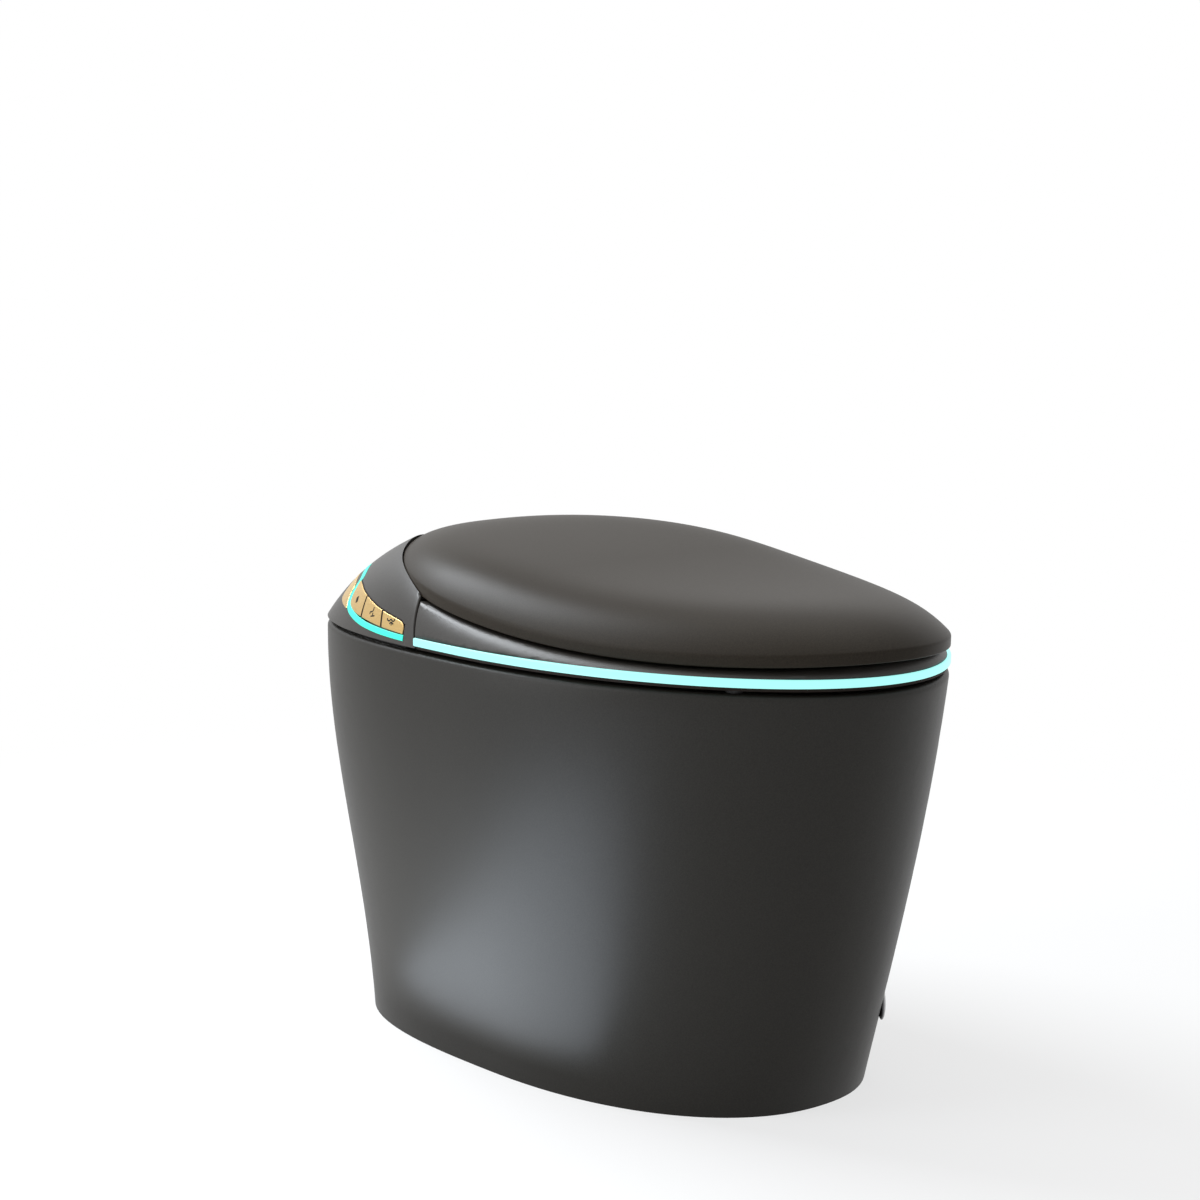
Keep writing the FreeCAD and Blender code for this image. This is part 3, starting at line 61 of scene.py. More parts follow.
# Lid
LID = Egg(198.0, 339.0, 240.0, 27.0, 1.9, 2.3)
EDGE_FRONT_Z = 430.5
EDGE_MID_Z = 435.5
EDGE_REAR_Z = 482.0
CROWN_FRONT = 34.9
CROWN_REAR = 10.5
CROWN_POWER = 9
CROWN_STEPS = 70
CROWN_STEP_POWER = 0.8
LID_BAND = 10.0
LID_BORDER = 14.0
LID_LINER_T = 2.5
LID_GAP = 3.0
LID_SOFT_EDGE = 1.6
LID_SOFT_STEPS = 9
LID_SIDE_INSET = 0.024
LID_UNDERCUT = 0.2
LID_LIP_ROUND = 1.5
LID_LIP_STEPS = 6
LID_FLAT_STEPS = 12
LID_REAR_SPREAD = 0.6
LID_SPREAD_Y = (0.0, 120.0)
LID_AXIS_Y = 228.0
LID_AXIS_Z = 475.0
LID_TOWER_X = 45.0
LID_TOWER_W = 16.0
LID_KNUCKLE_R = 5.0
LID_NOTCH_CLEAR = 1.2
LID_NOTCH_ROOF = 0.3

# Shoulder that the seat's collar and the rear housing share
SHOULDER_Z = 397.0
SHOULDER = Egg(211.0, 328.0, 356.0, 36.0, 2.0, 2.8)
SHOULDER_TOP = Egg(197.0, 322.0, 245.0, 27.0, 1.95, 2.45)
SHOULDER_END = math.radians(61)
SHOULDER_LEAN = math.radians(31)
SHOULDER_LEAN_Y = (50.0, 180.0)
SHOULDER_LIFT = 11.0
SHOULDER_LIFT_X = (60.0, 105.0)
SEAM_LOW_Y = 86.0
SEAM_LOW_Z = 401.0
SEAM_HIGH_Y = 98.0
SEAM_HIGH_Z = 440.0

# Seat's light strip
STRIP_LOW_Z = 399.0
STRIP_T = 7.5
STRIP_DEPTH = 3.0
STRIP_PROUD = 0.8
STRIP_ROUND = 1.2
STRIP_STEPS = 240
SEAM_STEPS = 2000

# Control panel, laid out on its own plane: t runs back, b runs up the slope
PANEL_CENTRE = np.array([-194.0, 177.0, 422.0])
PANEL_NORMAL = np.array([-0.885, 0.194, 0.424])
PANEL_GUESS_SHARE = 0.5
PANEL_STEPS = 120
SLAB_STEPS = 9
SLAB_MIN_RUN = 2.2
SLAB_MAX_EDGE_SHARE = 0.45
NEWTON_ROUNDS = 20
NEWTON_STEP = 1e-4
NEWTON_MAX_ANGLE = 0.1
NEWTON_MAX_SHARE = 0.2
LIGHT_LINE = ((-73.0, -16.4), (-50.0, -17.4), (-24.0, -17.6), (7.6, -15.6), (36.0, -9.9), (51.5, -3.0),
              (57.5, 5.0), (60.0, 17.0), (65.0, 27.0), (86.0, 39.0))
LIGHT_FRONT_W = 5.2
LIGHT_REAR_W = 7.0
LIGHT_PROUD = 0.6
LIGHT_DEPTH = 1.5
KEY_FOOT = ((-72.0, -13.2), (-35.0, -13.6), (-6.0, -12.4), (25.0, -9.2), (46.0, -3.4), (52.8, 4.0),
            (56.0, 14.0), (60.6, 22.4))
KEY_HEAD = ((-70.5, -2.7), (-29.6, 1.2), (0.0, 6.3), (30.0, 13.7), (44.0, 18.4), (51.5, 20.4),
            (56.5, 21.8), (61.0, 22.8))
KEY_SPLIT_SHARES = (0.0, 0.149, 0.354, 1.0)
KEY_GROOVE = 2.0
KEY_LENGTH_STEPS = 400
KEY_PROUD = 0.55
KEY_EDGE = 0.8
KEY_DEPTH = 2.4
KEY_NOSE_SHARE = 0.03
KEY_NOSE_LOW_SHARE = 0.55
# Dark lines that paint shade into the grooves between the keys and along the keys' upper edge
GROOVE_LINE_W = 2.4
HEAD_LINE_W = 1.5
SHADE_LINE_PROUD = 0.12
SHADE_LINE_DEPTH = 0.6
TRIM_BED_NEAR = ((37.0, -13.0), (58.0, 2.0), (62.0, 19.0), (89.0, 37.0))
TRIM_BED_FAR = ((38.0, -14.0), (71.5, -8.5), (75.5, 9.0), (89.5, 35.5))
TRIM_BED_PROUD = 0.1
TRIM_INNER = ((52.0, -7.4), (57.5, -1.6), (62.5, 5.0), (69.4, 17.2), (93.5, 29.0))
TRIM_OUTER = ((54.0, -8.2), (73.0, -4.0), (88.0, 2.0), (93.0, 15.0), (95.0, 28.0))

# Marks on the keys: a bar, a seated figure over a spray, and a bidet over a spray
MARK_W = 1.4
MARK_RISE = 0.15
MARK_DEPTH = 0.3
MARK_STEPS = 24
STOP_MARK_W = 4.2
STOP_MARK = (((32.8, 0.6), (34.5, 3.3), (36.2, 6.0)),)
FIGURE_MARK = (
    ((-10.3, 1.6), (-10.8, -0.1), (-10.6, -2.0), (-8.8, -3.2), (-5.9, -3.7)),
    ((-5.9, -3.7), (-6.1, -4.7), (-6.5, -5.9)),
    ((-11.6, -3.8), (-12.1, -5.3), (-12.9, -6.9)),
    ((-9.5, -7.4), (-12.8, -6.8), (-16.2, -6.0)),
)
BIDET_MARK = (
    ((-41.2, -3.8), (-42.4, -5.4), (-45.8, -5.7), (-47.7, -3.9), (-51.5, -5.0), (-54.0, -4.0),
     (-53.2, -2.4)),
    ((-49.4, -6.2), (-50.1, -7.6), (-50.9, -9.1)),
    ((-47.1, -8.2), (-49.4, -6.4), (-53.7, -7.4)),
)
MARKS = (
    ("front_wash", BIDET_MARK, MARK_W),
    ("rear_wash", FIGURE_MARK, MARK_W),
    ("stop", STOP_MARK, STOP_MARK_W),
)

# Camera of the photograph
CAMERA_AT = (-1671.9, -1847.9, 826.9)
CAMERA_LOOK = (0.6488, 0.7445, -0.1574)
CAMERA_UP = (0.1034, 0.1187, 0.9875)
PHOTO_SIDE_PX = 1200
FOCAL_PX = 2700
SENSOR_MM = 36.0

# Studio, in metres and watts
WORLD_COLOUR = (0.95, 0.97, 1, 1)
WORLD_STRENGTH = 0.45
FLOOR_COLOUR = (0.86, 0.86, 0.86, 1)
FLOOR_ROUGHNESS = 0.9
FLOOR_SIDES = 64
FLOOR_R = 30.0
FLOOR_SHADOW_R = 0.45
FLOOR_WHITE_R = 1.6
FLOOR_NEAR_WHITE = 0.7
Lamp = namedtuple("Lamp", "name place aim size power colour")
LAMPS = (
    Lamp("left_window", (-2.3, 1.05, 1.2), (0, 0, 0.35), (1.3, 2.2), 30, (0.95, 0.97, 1)),
    Lamp("rear_window", (-0.6, 2.1, 2.6), (0, 0, 0.42), (1.6, 1.0), 110, (0.9, 0.95, 1)),
    Lamp("top_panel", (0.3, 0.6, 3.0), (0, 0, 0.3), (2.4, 2.4), 20, (1, 0.97, 0.92)),
    Lamp("low_panel", (-0.55, 0.1, 0.02), (-0.55, 0.1, 1), (0.7, 0.36), 4.5, (0.8, 0.89, 1)),
)


# Curves and surfaces
def egg(angle, shape):
    """x and y of an outline: 1 over the radius is the root of the summed powers of cosine over the half
    width and sine over the reach to the front or the rear."""
    ahead = np.sin(angle) < 0
    reach = np.where(ahead, shape.front + shape.middle, shape.rear - shape.middle)
    power = np.where(ahead, shape.front_power, shape.rear_power)
    across = np.abs(np.cos(angle)) / shape.half_width
    along = np.abs(np.sin(angle)) / reach
    radius = (across**power + along**power) ** (-1 / power)
    return radius * np.cos(angle), shape.middle + radius * np.sin(angle)


def grown(shape, by):
    return shape._replace(half_width=shape.half_width + by, front=shape.front + by, rear=shape.rear + by)


def edge_z(y):
    """Height of the lid's edge: the parabola through its front, middle and rear heights."""
    front = (EDGE_FRONT_Z - EDGE_MID_Z) / -LID.front
    rear = (EDGE_REAR_Z - EDGE_MID_Z) / LID.rear
    bend = (rear - front) / (LID.rear + LID.front)
    return EDGE_MID_Z + (rear - bend * LID.rear) * y + bend * y**2


def crown(y):
    """Rise of the lid's dome over its edge, falling towards the rear with the square of the place."""
    return CROWN_FRONT + (CROWN_REAR - CROWN_FRONT) * np.maximum(y / LID.rear, 0) ** 2


def ease(value, limits):
    """A smooth step from 0 at the first limit to 1 at the second."""
    k = np.clip((value - limits[0]) / (limits[1] - limits[0]), 0, 1)
    return k**2 * (3 - 2 * k)


def shoulder(angle, share):
    """Flank between the rim and the lid, at a share of the way up: part of a quarter round carried from
    the foot outline to the top outline, steep in front, leaning in behind, and raised beside the lid."""
    foot_x, foot_y = egg(angle, SHOULDER)
    top_x, top_y = egg(angle, SHOULDER_TOP)
    lean = ease(foot_y, SHOULDER_LEAN_Y)
    start = lean * SHOULDER_LEAN
    turn = start + share * (SHOULDER_END - start)
    inward = (np.cos(start) - np.cos(turn)) / (np.cos(start) - math.cos(SHOULDER_END))
    upward = (np.sin(turn) - np.sin(start)) / (math.sin(SHOULDER_END) - np.sin(start))
    top_z = edge_z(top_y) - LID_BAND - LID_GAP + SHOULDER_LIFT * lean * ease(np.abs(top_x), SHOULDER_LIFT_X)
    x = foot_x + inward * (top_x - foot_x)
    y = foot_y + inward * (top_y - foot_y)
    return np.stack([x, y, SHOULDER_Z + upward * (top_z - SHOULDER_Z)], axis=-1)


def smooth_line(points, shares):
    """Points on a Catmull-Rom curve through the given ones, at shares of its spans."""
    p = np.asarray(points, float)
    p = np.vstack([2 * p[0] - p[1], p, 2 * p[-1] - p[-2]])
    place = np.clip(np.asarray(shares, float), 0, 1) * (len(points) - 1)
    span = np.minimum(place.astype(int), len(points) - 2)
    k = (place - span)[..., None]
    a, b, c, d = p[span], p[span + 1], p[span + 2], p[span + 3]
    return b + k * (c - a) / 2 + k**2 * (a - 2.5 * b + 2 * c - d / 2) + k**3 * (1.5 * (b - c) + (d - a) / 2)


def sideways(line):
    """Unit vectors to the right of a flat line's own direction."""
    run = np.gradient(line, axis=0)
    run /= np.linalg.norm(run, axis=-1, keepdims=True)
    return np.stack([run[:, 1], -run[:, 0]], axis=-1)


# Meshes
def ring_mesh(name, rings, caps=False):
    """Closed rings of points joined one to the next by quads. A ring drawn to one point is a pole,
    and caps fill the first and last rings."""
    count, around = rings.shape[:2]
    index = np.arange(count * around).reshape(count, around)
    after = np.roll(index, -1, axis=1)
    faces = np.stack([index[:-1], after[:-1], after[1:], index[1:]], axis=-1).reshape(-1, 4).tolist()
    if caps:
        faces += [index[0][::-1].tolist(), index[-1].tolist()]
    mesh = bpy.data.meshes.new(name)
    mesh.from_pydata((rings.reshape(-1, 3) * MM).tolist(), [], faces)
    return mesh


def close(mesh, sharp_deg):
    """Merges seams and poles, turns the faces outwards and shades them smooth up to an angle."""
    shape = bmesh.new()
    shape.from_mesh(mesh)
    bmesh.ops.remove_doubles(shape, verts=shape.verts, dist=MERGE)
    bmesh.ops.dissolve_degenerate(shape, edges=shape.edges, dist=MERGE)
    bmesh.ops.recalc_face_normals(shape, faces=shape.faces)
    shape.to_mesh(mesh)
    shape.free()
    mesh.polygons.foreach_set("use_smooth", [True] * len(mesh.polygons))
    mesh.set_sharp_from_angle(angle=math.radians(sharp_deg))


def piece(mesh, body, material, replaces=(), sharp_deg=SHARP_DEG):
    """Puts a mesh into the scene on a body and in place of the CAD nodes that it stands for."""
    close(mesh, sharp_deg)
    obj = bpy.data.objects.new(mesh.name, mesh)
    bpy.context.scene.collection.objects.link(obj)
    mesh.materials.append(material)
    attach(obj, body)
    if replaces:
        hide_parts(*replaces)


def box_mesh(name, low, high):
    """Plain box between two corners, for cutting."""
    x, y, z = zip(low, high)
    ring = np.array([(x[0], y[0]), (x[1], y[0]), (x[1], y[1]), (x[0], y[1])])
    rings = np.stack([np.column_stack([ring, np.full(len(ring), level)]) for level in z])
    return ring_mesh(name, rings, caps=True)


def carve(mesh, cutters):
    """The mesh with the cutters taken out of it, as a new mesh of the same name."""
    close(mesh, SHARP_DEG)
    target = bpy.data.objects.new("carved", mesh)
    bpy.context.scene.collection.objects.link(target)
    tools = []
    for cutter in cutters:
        close(cutter, SHARP_DEG)
        tool = bpy.data.objects.new("cutter", cutter)
        bpy.context.scene.collection.objects.link(tool)
        cut = target.modifiers.new("cut", "BOOLEAN")
        cut.operation = "DIFFERENCE"
        cut.object = tool
        cut.solver = "EXACT"
        tools.append(tool)
    bpy.context.view_layer.update()
    shown = target.evaluated_get(bpy.context.evaluated_depsgraph_get())
    result = bpy.data.meshes.new_from_object(shown)
    name = mesh.name
    for spare in [target, *tools]:
        spare_mesh = spare.data
        bpy.data.objects.remove(spare)
        bpy.data.meshes.remove(spare_mesh)
    result.name = name
    return result


def merged_copy(node):
    """A copy of a CAD node's mesh without its materials; piece later merges its loose triangles, so that it
    shades smoothly.
    """
    mesh = nodes[node].data.copy()
    mesh.name = node + "_skin"
    mesh.materials.clear()
    return mesh


# Materials
TINT_STOPS = (0.35, 0.65)
NOISE_DETAIL = 3
FINE_DETAIL = 2
BRUSHED_GOLD = (1, 0.06, 1)
BRUSHED_STEEL = (0.05, 1, 1)


def finish(name, low, high, tint_scale, roughness, tint_detail=NOISE_DETAIL, gloss_scale=None,
           gloss_detail=NOISE_DETAIL, grain_scale=None, grain_height=None, stretch=None, sockets=()):
    """A material round one Principled shader. On the object's own coordinates one noise drifts the colour
    between low and high, one drifts the roughness through its range, and one raises a grain, its height
    in metres."""
    material = bpy.data.materials.new(name)
    material.use_nodes = True
    tree = material.node_tree
    shader = tree.nodes["Principled BSDF"].inputs
    place = tree.nodes.new("ShaderNodeTexCoord").outputs["Object"]
    if stretch:
        mapping = tree.nodes.new("ShaderNodeMapping")
        mapping.inputs["Scale"].default_value = stretch
        tree.links.new(place, mapping.inputs["Vector"])
        place = mapping.outputs["Vector"]

    def noise(scale, detail):
        made = tree.nodes.new("ShaderNodeTexNoise")
        made.inputs["Scale"].default_value = scale
        made.inputs["Detail"].default_value = detail
        tree.links.new(place, made.inputs["Vector"])
        return made.outputs["Fac"]

    ramp = tree.nodes.new("ShaderNodeValToRGB")
    for stop, position, colour in zip(ramp.color_ramp.elements, TINT_STOPS, (low, high)):
        stop.position = position
        stop.color = (*colour, 1)
    tree.links.new(noise(tint_scale, tint_detail), ramp.inputs["Fac"])
    tree.links.new(ramp.outputs["Color"], shader["Base Color"])
    if gloss_scale:
        spread = tree.nodes.new("ShaderNodeMapRange")
        spread.inputs["To Min"].default_value, spread.inputs["To Max"].default_value = roughness
        tree.links.new(noise(gloss_scale, gloss_detail), spread.inputs["Value"])
        tree.links.new(spread.outputs["Result"], shader["Roughness"])
    else:
        shader["Roughness"].default_value = roughness
    if grain_scale:
        bump = tree.nodes.new("ShaderNodeBump")
        bump.inputs["Strength"].default_value = 1.0
        bump.inputs["Distance"].default_value = grain_height
        tree.links.new(noise(grain_scale, FINE_DETAIL), bump.inputs["Height"])
        tree.links.new(bump.outputs["Normal"], shader["Normal"])
    for socket, value in sockets:
        shader[socket].default_value = value
    return material


def gunmetal(name, low, high, grain_scale, specular):
    """Satin paint or glaze with a fine metallic drift."""
    return finish(
        name, low, high, tint_scale=800, tint_detail=FINE_DETAIL, roughness=(0.38, 0.46), gloss_scale=700,
        grain_scale=grain_scale, grain_height=0.00004, sockets=[("Specular IOR Level", specular)])


def plastic(name, colour, roughness):
    low = tuple(0.9 * c for c in colour)
    high = tuple(min(1.08 * c, 1) for c in colour)
    return finish(
        name, low, high, tint_scale=40, roughness=(roughness - 0.05, roughness + 0.05), gloss_scale=500,
        grain_scale=1200, grain_height=0.00006)


def glow(name, colour, base):
    """A dark body that shines evenly."""
    return finish(
        name, low=tuple(0.96 * c for c in base), high=base, tint_scale=60, roughness=0.45,
        sockets=[("Emission Color", (*colour, 1)), ("Emission Strength", 1.0)])


GLAZE = gunmetal("gunmetal_glaze", (0.012, 0.0105, 0.0085), (0.017, 0.0155, 0.0125), 1400, 0.22)
SHELL = gunmetal("gunmetal_shell", (0.018, 0.0155, 0.013), (0.024, 0.0215, 0.018), 1500, 0.38)
LID_PAINT = gunmetal("warm_gunmetal_lid", (0.0175, 0.0135, 0.0095), (0.0245, 0.0195, 0.0135), 1500, 0.105)
GOLD = finish(
    "brushed_gold", (0.54, 0.37, 0.145), (0.58, 0.4, 0.165), tint_scale=400, tint_detail=FINE_DETAIL,
    roughness=(0.3, 0.38), gloss_scale=700, gloss_detail=FINE_DETAIL, grain_scale=900, grain_height=0.00003,
    stretch=BRUSHED_GOLD, sockets=[("Metallic", 0.9)])
# Dark brown of the key bezel, also used as painted shade: dark lines in the grooves between the keys and
# along the keys' upper edge
BEZEL_AND_SHADE_BROWN = finish(
    "dark_bezel_and_painted_shade", (0.006, 0.003, 0.0015), (0.01, 0.005, 0.003), tint_scale=200, roughness=(0.55, 0.65),
    gloss_scale=600, sockets=[("Specular IOR Level", 0.15)])
MARK = finish(
    "mark_black", (0.004, 0.0035, 0.003), (0.006, 0.0055, 0.005), tint_scale=400, roughness=0.6,
    sockets=[("Specular IOR Level", 0.15)])
RUBBER = finish(
    "black_rubber", (0.016, 0.016, 0.016), (0.026, 0.026, 0.026), tint_scale=120, roughness=0.75,
    grain_scale=900, grain_height=0.0001)
STEEL = finish(
    "brushed_steel", (0.48, 0.48, 0.48), (0.6, 0.6, 0.6), tint_scale=300, tint_detail=FINE_DETAIL,
    roughness=(0.26, 0.4), gloss_scale=500, gloss_detail=FINE_DETAIL, stretch=BRUSHED_STEEL,
    sockets=[("Metallic", 1.0)])
FOIL = finish(
    "heater_foil", (0.65, 0.65, 0.67), (0.8, 0.8, 0.82), tint_scale=50, roughness=0.3, grain_scale=160,
    grain_height=0.0002, sockets=[("Metallic", 1.0)])
LENS = finish(
    "sensor_gloss", (0.01, 0.01, 0.012), (0.016, 0.016, 0.018), tint_scale=80, roughness=(0.1, 0.16),
    gloss_scale=300)
STRIP_GLOW = glow("strip_glow", (0.4, 0.95, 0.9), (0.03, 0.08, 0.08))
PANEL_GLOW = glow("panel_glow", (0.015, 1.0, 0.74), (0.01, 0.06, 0.05))
BLACK = plastic("black_plastic", (0.018, 0.018, 0.02), 0.5)
WHITE = plastic("white_plastic", (0.7, 0.7, 0.68), 0.45)
LINER = plastic("liner_grey", (0.06, 0.056, 0.051), 0.5)
BOARD = plastic("board_green", (0.02, 0.12, 0.045), 0.45)

SLOT_FINISH = {
    "glaze": GLAZE, "shell_grey": SHELL, "gold": GOLD, "dark_bezel": BEZEL_AND_SHADE_BROWN, "seat_glow": STRIP_GLOW,
    "panel_glow": PANEL_GLOW, "rubber": RUBBER, "steel": STEEL, "black_plastic": BLACK,
    "white_plastic": WHITE, "liner_grey": LINER, "board_green": BOARD, "foil": FOIL, "lens": LENS,
}


def dress_nodes():
    """Every CAD node that stays in view takes the finish of its record slot."""
    for part in frame["record"]["subparts"]:
        mesh = nodes[part["node"]].data
        mesh.materials.clear()
        mesh.materials.append(SLOT_FINISH[part["material_slot"]])


# Lid
def lid_outline(angle):
    """The lid's egg, a hair wider behind, where it closes the gap to the housing."""
    x, y = egg(angle, LID)
    wider = LID_REAR_SPREAD * ease(y, LID_SPREAD_Y)
    return x + wider * np.cos(angle), y + wider * np.sin(angle)


def lid_ring(angle, inset, height):
    """The lid's outline drawn in by inset, at a height over the lid's edge."""
    x, y = lid_outline(angle)
    share = 1 - inset / np.hypot(x, y - LID.middle)
    x, y = share * x, LID.middle + share * (y - LID.middle)
    return np.stack([x, y, edge_z(y) + height], axis=-1)


def dome_ring(angle, share):
    """The dome's ring at a share of the way out: its height falls with a high power of the share."""
    x, y = lid_outline(angle)
    x, y = share * x, LID.middle + share * (y - LID.middle)
    return np.stack([x, y, edge_z(y) + crown(y) * (1 - share**CROWN_POWER)], axis=-1)


def lid_cover():
    """Dome, softened edge, undercut band, lip and the flat that the liner lies on, from pole to pole."""
    angle = np.linspace(0, 2 * math.pi, ROUND_STEPS, endpoint=False)
    x, y = lid_outline(angle)
    reach = np.hypot(x, y - LID.middle)
    shares = np.linspace(0, 1, CROWN_STEPS) ** CROWN_STEP_POWER
    rings = [dome_ring(angle, s * (1 - LID_SOFT_EDGE / reach)) for s in shares]
    start, corner = rings[-1], lid_ring(angle, 0, 0)
    side = lid_ring(angle, LID_SIDE_INSET, -LID_SOFT_EDGE)
    for k in np.linspace(0, 1, LID_SOFT_STEPS)[1:]:
        rings.append(start * (1 - k) ** 2 + corner * 2 * k * (1 - k) + side * k**2)
    low = LID_LIP_ROUND - LID_BAND
    for k in np.linspace(0, 1, CORNER_STEPS)[1:]:
        inset = LID_SIDE_INSET + k * (LID_UNDERCUT - LID_SIDE_INSET)
        rings.append(lid_ring(angle, inset, -LID_SOFT_EDGE + k * (low + LID_SOFT_EDGE)))
    for turn in np.linspace(0, math.pi / 2, LID_LIP_STEPS)[1:]:
        inset = LID_UNDERCUT + LID_LIP_ROUND * (1 - math.cos(turn))
        rings.append(lid_ring(angle, inset, low - LID_LIP_ROUND * math.sin(turn)))
    rings.append(lid_ring(angle, LID_BORDER, -LID_BAND))
    rings.append(lid_ring(angle, LID_BORDER, LID_LINER_T - LID_BAND))
    for share in np.linspace(1, 0, LID_FLAT_STEPS)[1:]:
        rings.append(lid_ring(angle, reach - share * (reach - LID_BORDER), LID_LINER_T - LID_BAND))
    ahead = LID_KNUCKLE_R + LID_NOTCH_CLEAR
    half = LID_TOWER_W / 2 + LID_NOTCH_CLEAR
    cutters = []
    for side_x in (-LID_TOWER_X, LID_TOWER_X):
        low_corner = (side_x - half, LID_AXIS_Y - ahead, SHOULDER_Z)
        high_corner = (side_x + half, LID_AXIS_Y + LID.rear, LID_AXIS_Z + LID_KNUCKLE_R + LID_NOTCH_ROOF)
        cutters.append(box_mesh("lid_notch", low_corner, high_corner))
    mesh = carve(ring_mesh("lid_cover", np.stack(rings)), cutters)
    piece(mesh, "lid", LID_PAINT, ("lid_shell",))


# Seat's light strip
def seam_angle(z, side):
    """Angle round the rim outline where it meets the leaning seam, on one side."""
    lean = (SEAM_HIGH_Y - SEAM_LOW_Y) / (SEAM_HIGH_Z - SEAM_LOW_Z)
    seam_y = SEAM_LOW_Y + lean * (z - SEAM_LOW_Z)
    angle = np.linspace(0, math.pi / 2, SEAM_STEPS)
    found = np.interp(seam_y, egg(angle, SHOULDER)[1], angle)
    return found if side > 0 else math.pi - found


def light_strip():
    """A rounded band carried round the front of the rim outline from seam to seam."""
    z_mid = STRIP_LOW_Z + STRIP_T / 2
    start, end = seam_angle(z_mid, 1), seam_angle(z_mid, -1) - 2 * math.pi
    angle = np.linspace(start, end, STRIP_STEPS)
    corner = np.linspace(0, math.pi / 2, CORNER_STEPS)
    sine, cosine = STRIP_ROUND * np.sin(corner), STRIP_ROUND * np.cos(corner)
    out = np.concatenate([sine, cosine]) - STRIP_ROUND + STRIP_PROUD
    up = np.concatenate([STRIP_ROUND - cosine, STRIP_T - STRIP_ROUND + sine])
    out = np.concatenate([out, [-STRIP_DEPTH, -STRIP_DEPTH]])
    up = np.concatenate([up, [STRIP_T, 0]])
    rings = []
    for by, z in zip(out, up):
        x, y = egg(angle, grown(SHOULDER, by))
        rings.append(np.stack([x, y, np.full_like(x, STRIP_LOW_Z + z)], axis=-1))
    mesh = ring_mesh("seat_light_strip", np.stack(rings, axis=1), caps=True)
    piece(mesh, "seat", STRIP_GLOW, ("seat_light",))


# Control panel
def panel_axes():
    normal = PANEL_NORMAL / np.linalg.norm(PANEL_NORMAL)
    along = np.cross(normal, (0, 0, 1))
    along /= np.linalg.norm(along)
    return along, np.cross(along, normal), normal


def on_flank(flat, rise):
    """Panel points t, b run along the panel's normal onto the shoulder's flank, by Newton steps on the
    flank's angle and share, and then raised over it by rise."""
    along, up, outward = panel_axes()
    t, b = flat[..., 0], flat[..., 1]
    angle = np.full(t.shape, math.atan2(PANEL_CENTRE[1] - SHOULDER.middle, PANEL_CENTRE[0]))
    share = np.full(t.shape, PANEL_GUESS_SHARE)
    step = NEWTON_STEP

    def miss(a, s):
        p = shoulder(a, s) - PANEL_CENTRE
        return p @ along - t, p @ up - b

    for _ in range(NEWTON_ROUNDS):
        m0, n0 = miss(angle, share)
        ma, na = miss(angle + step, share)
        ms, ns = miss(angle, share + step)
        a11, a21, a12, a22 = (ma - m0) / step, (na - n0) / step, (ms - m0) / step, (ns - n0) / step
        det = a11 * a22 - a12 * a21
        angle = angle - np.clip((m0 * a22 - n0 * a12) / det, -NEWTON_MAX_ANGLE, NEWTON_MAX_ANGLE)
        share = share - np.clip((n0 * a11 - m0 * a21) / det, -NEWTON_MAX_SHARE, NEWTON_MAX_SHARE)
    p = shoulder(angle, share)
    normal = np.cross(shoulder(angle, share + step) - p, shoulder(angle + step, share) - p)
    normal /= np.linalg.norm(normal, axis=-1, keepdims=True)
    normal *= np.sign(normal @ outward)[..., None]
    return p + normal * np.asarray(rise)[..., None]


def panel_slab(name, foot, head, rise, soft, depth):
    """A slab on the flank between two lines, its upper edges softened by a quarter round."""
    quarter = np.linspace(0, math.pi / 2, CORNER_STEPS)
    run = np.linalg.norm(head - foot, axis=-1)
    edge = np.minimum(soft / np.maximum(run, soft * SLAB_MIN_RUN), SLAB_MAX_EDGE_SHARE)
    inner = np.linspace(0, 1, SLAB_STEPS)[1:-1]
    across = [edge * (1 - math.cos(q)) for q in quarter]
    across += [edge + k * (1 - 2 * edge) for k in inner]
    across += [1 - edge * (1 - math.cos(q)) for q in quarter[::-1]]
    height = [rise - soft * (1 - math.sin(q)) for q in quarter] + [rise] * len(inner)
    height += [rise - soft * (1 - math.sin(q)) for q in quarter[::-1]]
    across += [np.ones_like(edge), np.zeros_like(edge)]
    height += [-depth, -depth]
    flat = np.stack([foot + k[:, None] * (head - foot) for k in across], axis=1)
    return ring_mesh(name, on_flank(flat, np.broadcast_to(height, flat.shape[:2])), caps=True)


def key_lines(start, end):
    """Foot and head lines of the gold band between two shares, with a rounded nose at its front end."""
    shares = np.linspace(start, end, PANEL_STEPS)
    foot, head = smooth_line(KEY_FOOT, shares), smooth_line(KEY_HEAD, shares)
    nose = np.sqrt(1 - (1 - np.clip(shares / KEY_NOSE_SHARE, 0, 1)) ** 2)
    full = KEY_NOSE_LOW_SHARE + (1 - KEY_NOSE_LOW_SHARE) * nose
    return foot, foot + (head - foot) * full[:, None]


def keys():
    """Three gold keys side by side, each pressed in along the panel's normal."""
    line = smooth_line(KEY_FOOT, np.linspace(0, 1, KEY_LENGTH_STEPS))
    gap = KEY_GROOVE / 2 / np.linalg.norm(np.diff(line, axis=0), axis=1).sum()
    names = ("front_wash", "rear_wash", "stop")
    for i, name in enumerate(names):
        start = KEY_SPLIT_SHARES[i] + (gap if i else 0)
        end = KEY_SPLIT_SHARES[i + 1] - (gap if i + 1 < len(names) else 0)
        foot, head = key_lines(start, end)
        mesh = panel_slab(name + "_key_cap", foot, head, KEY_PROUD, KEY_EDGE, KEY_DEPTH)
        piece(mesh, name + "_key", GOLD, ("key_" + name,))


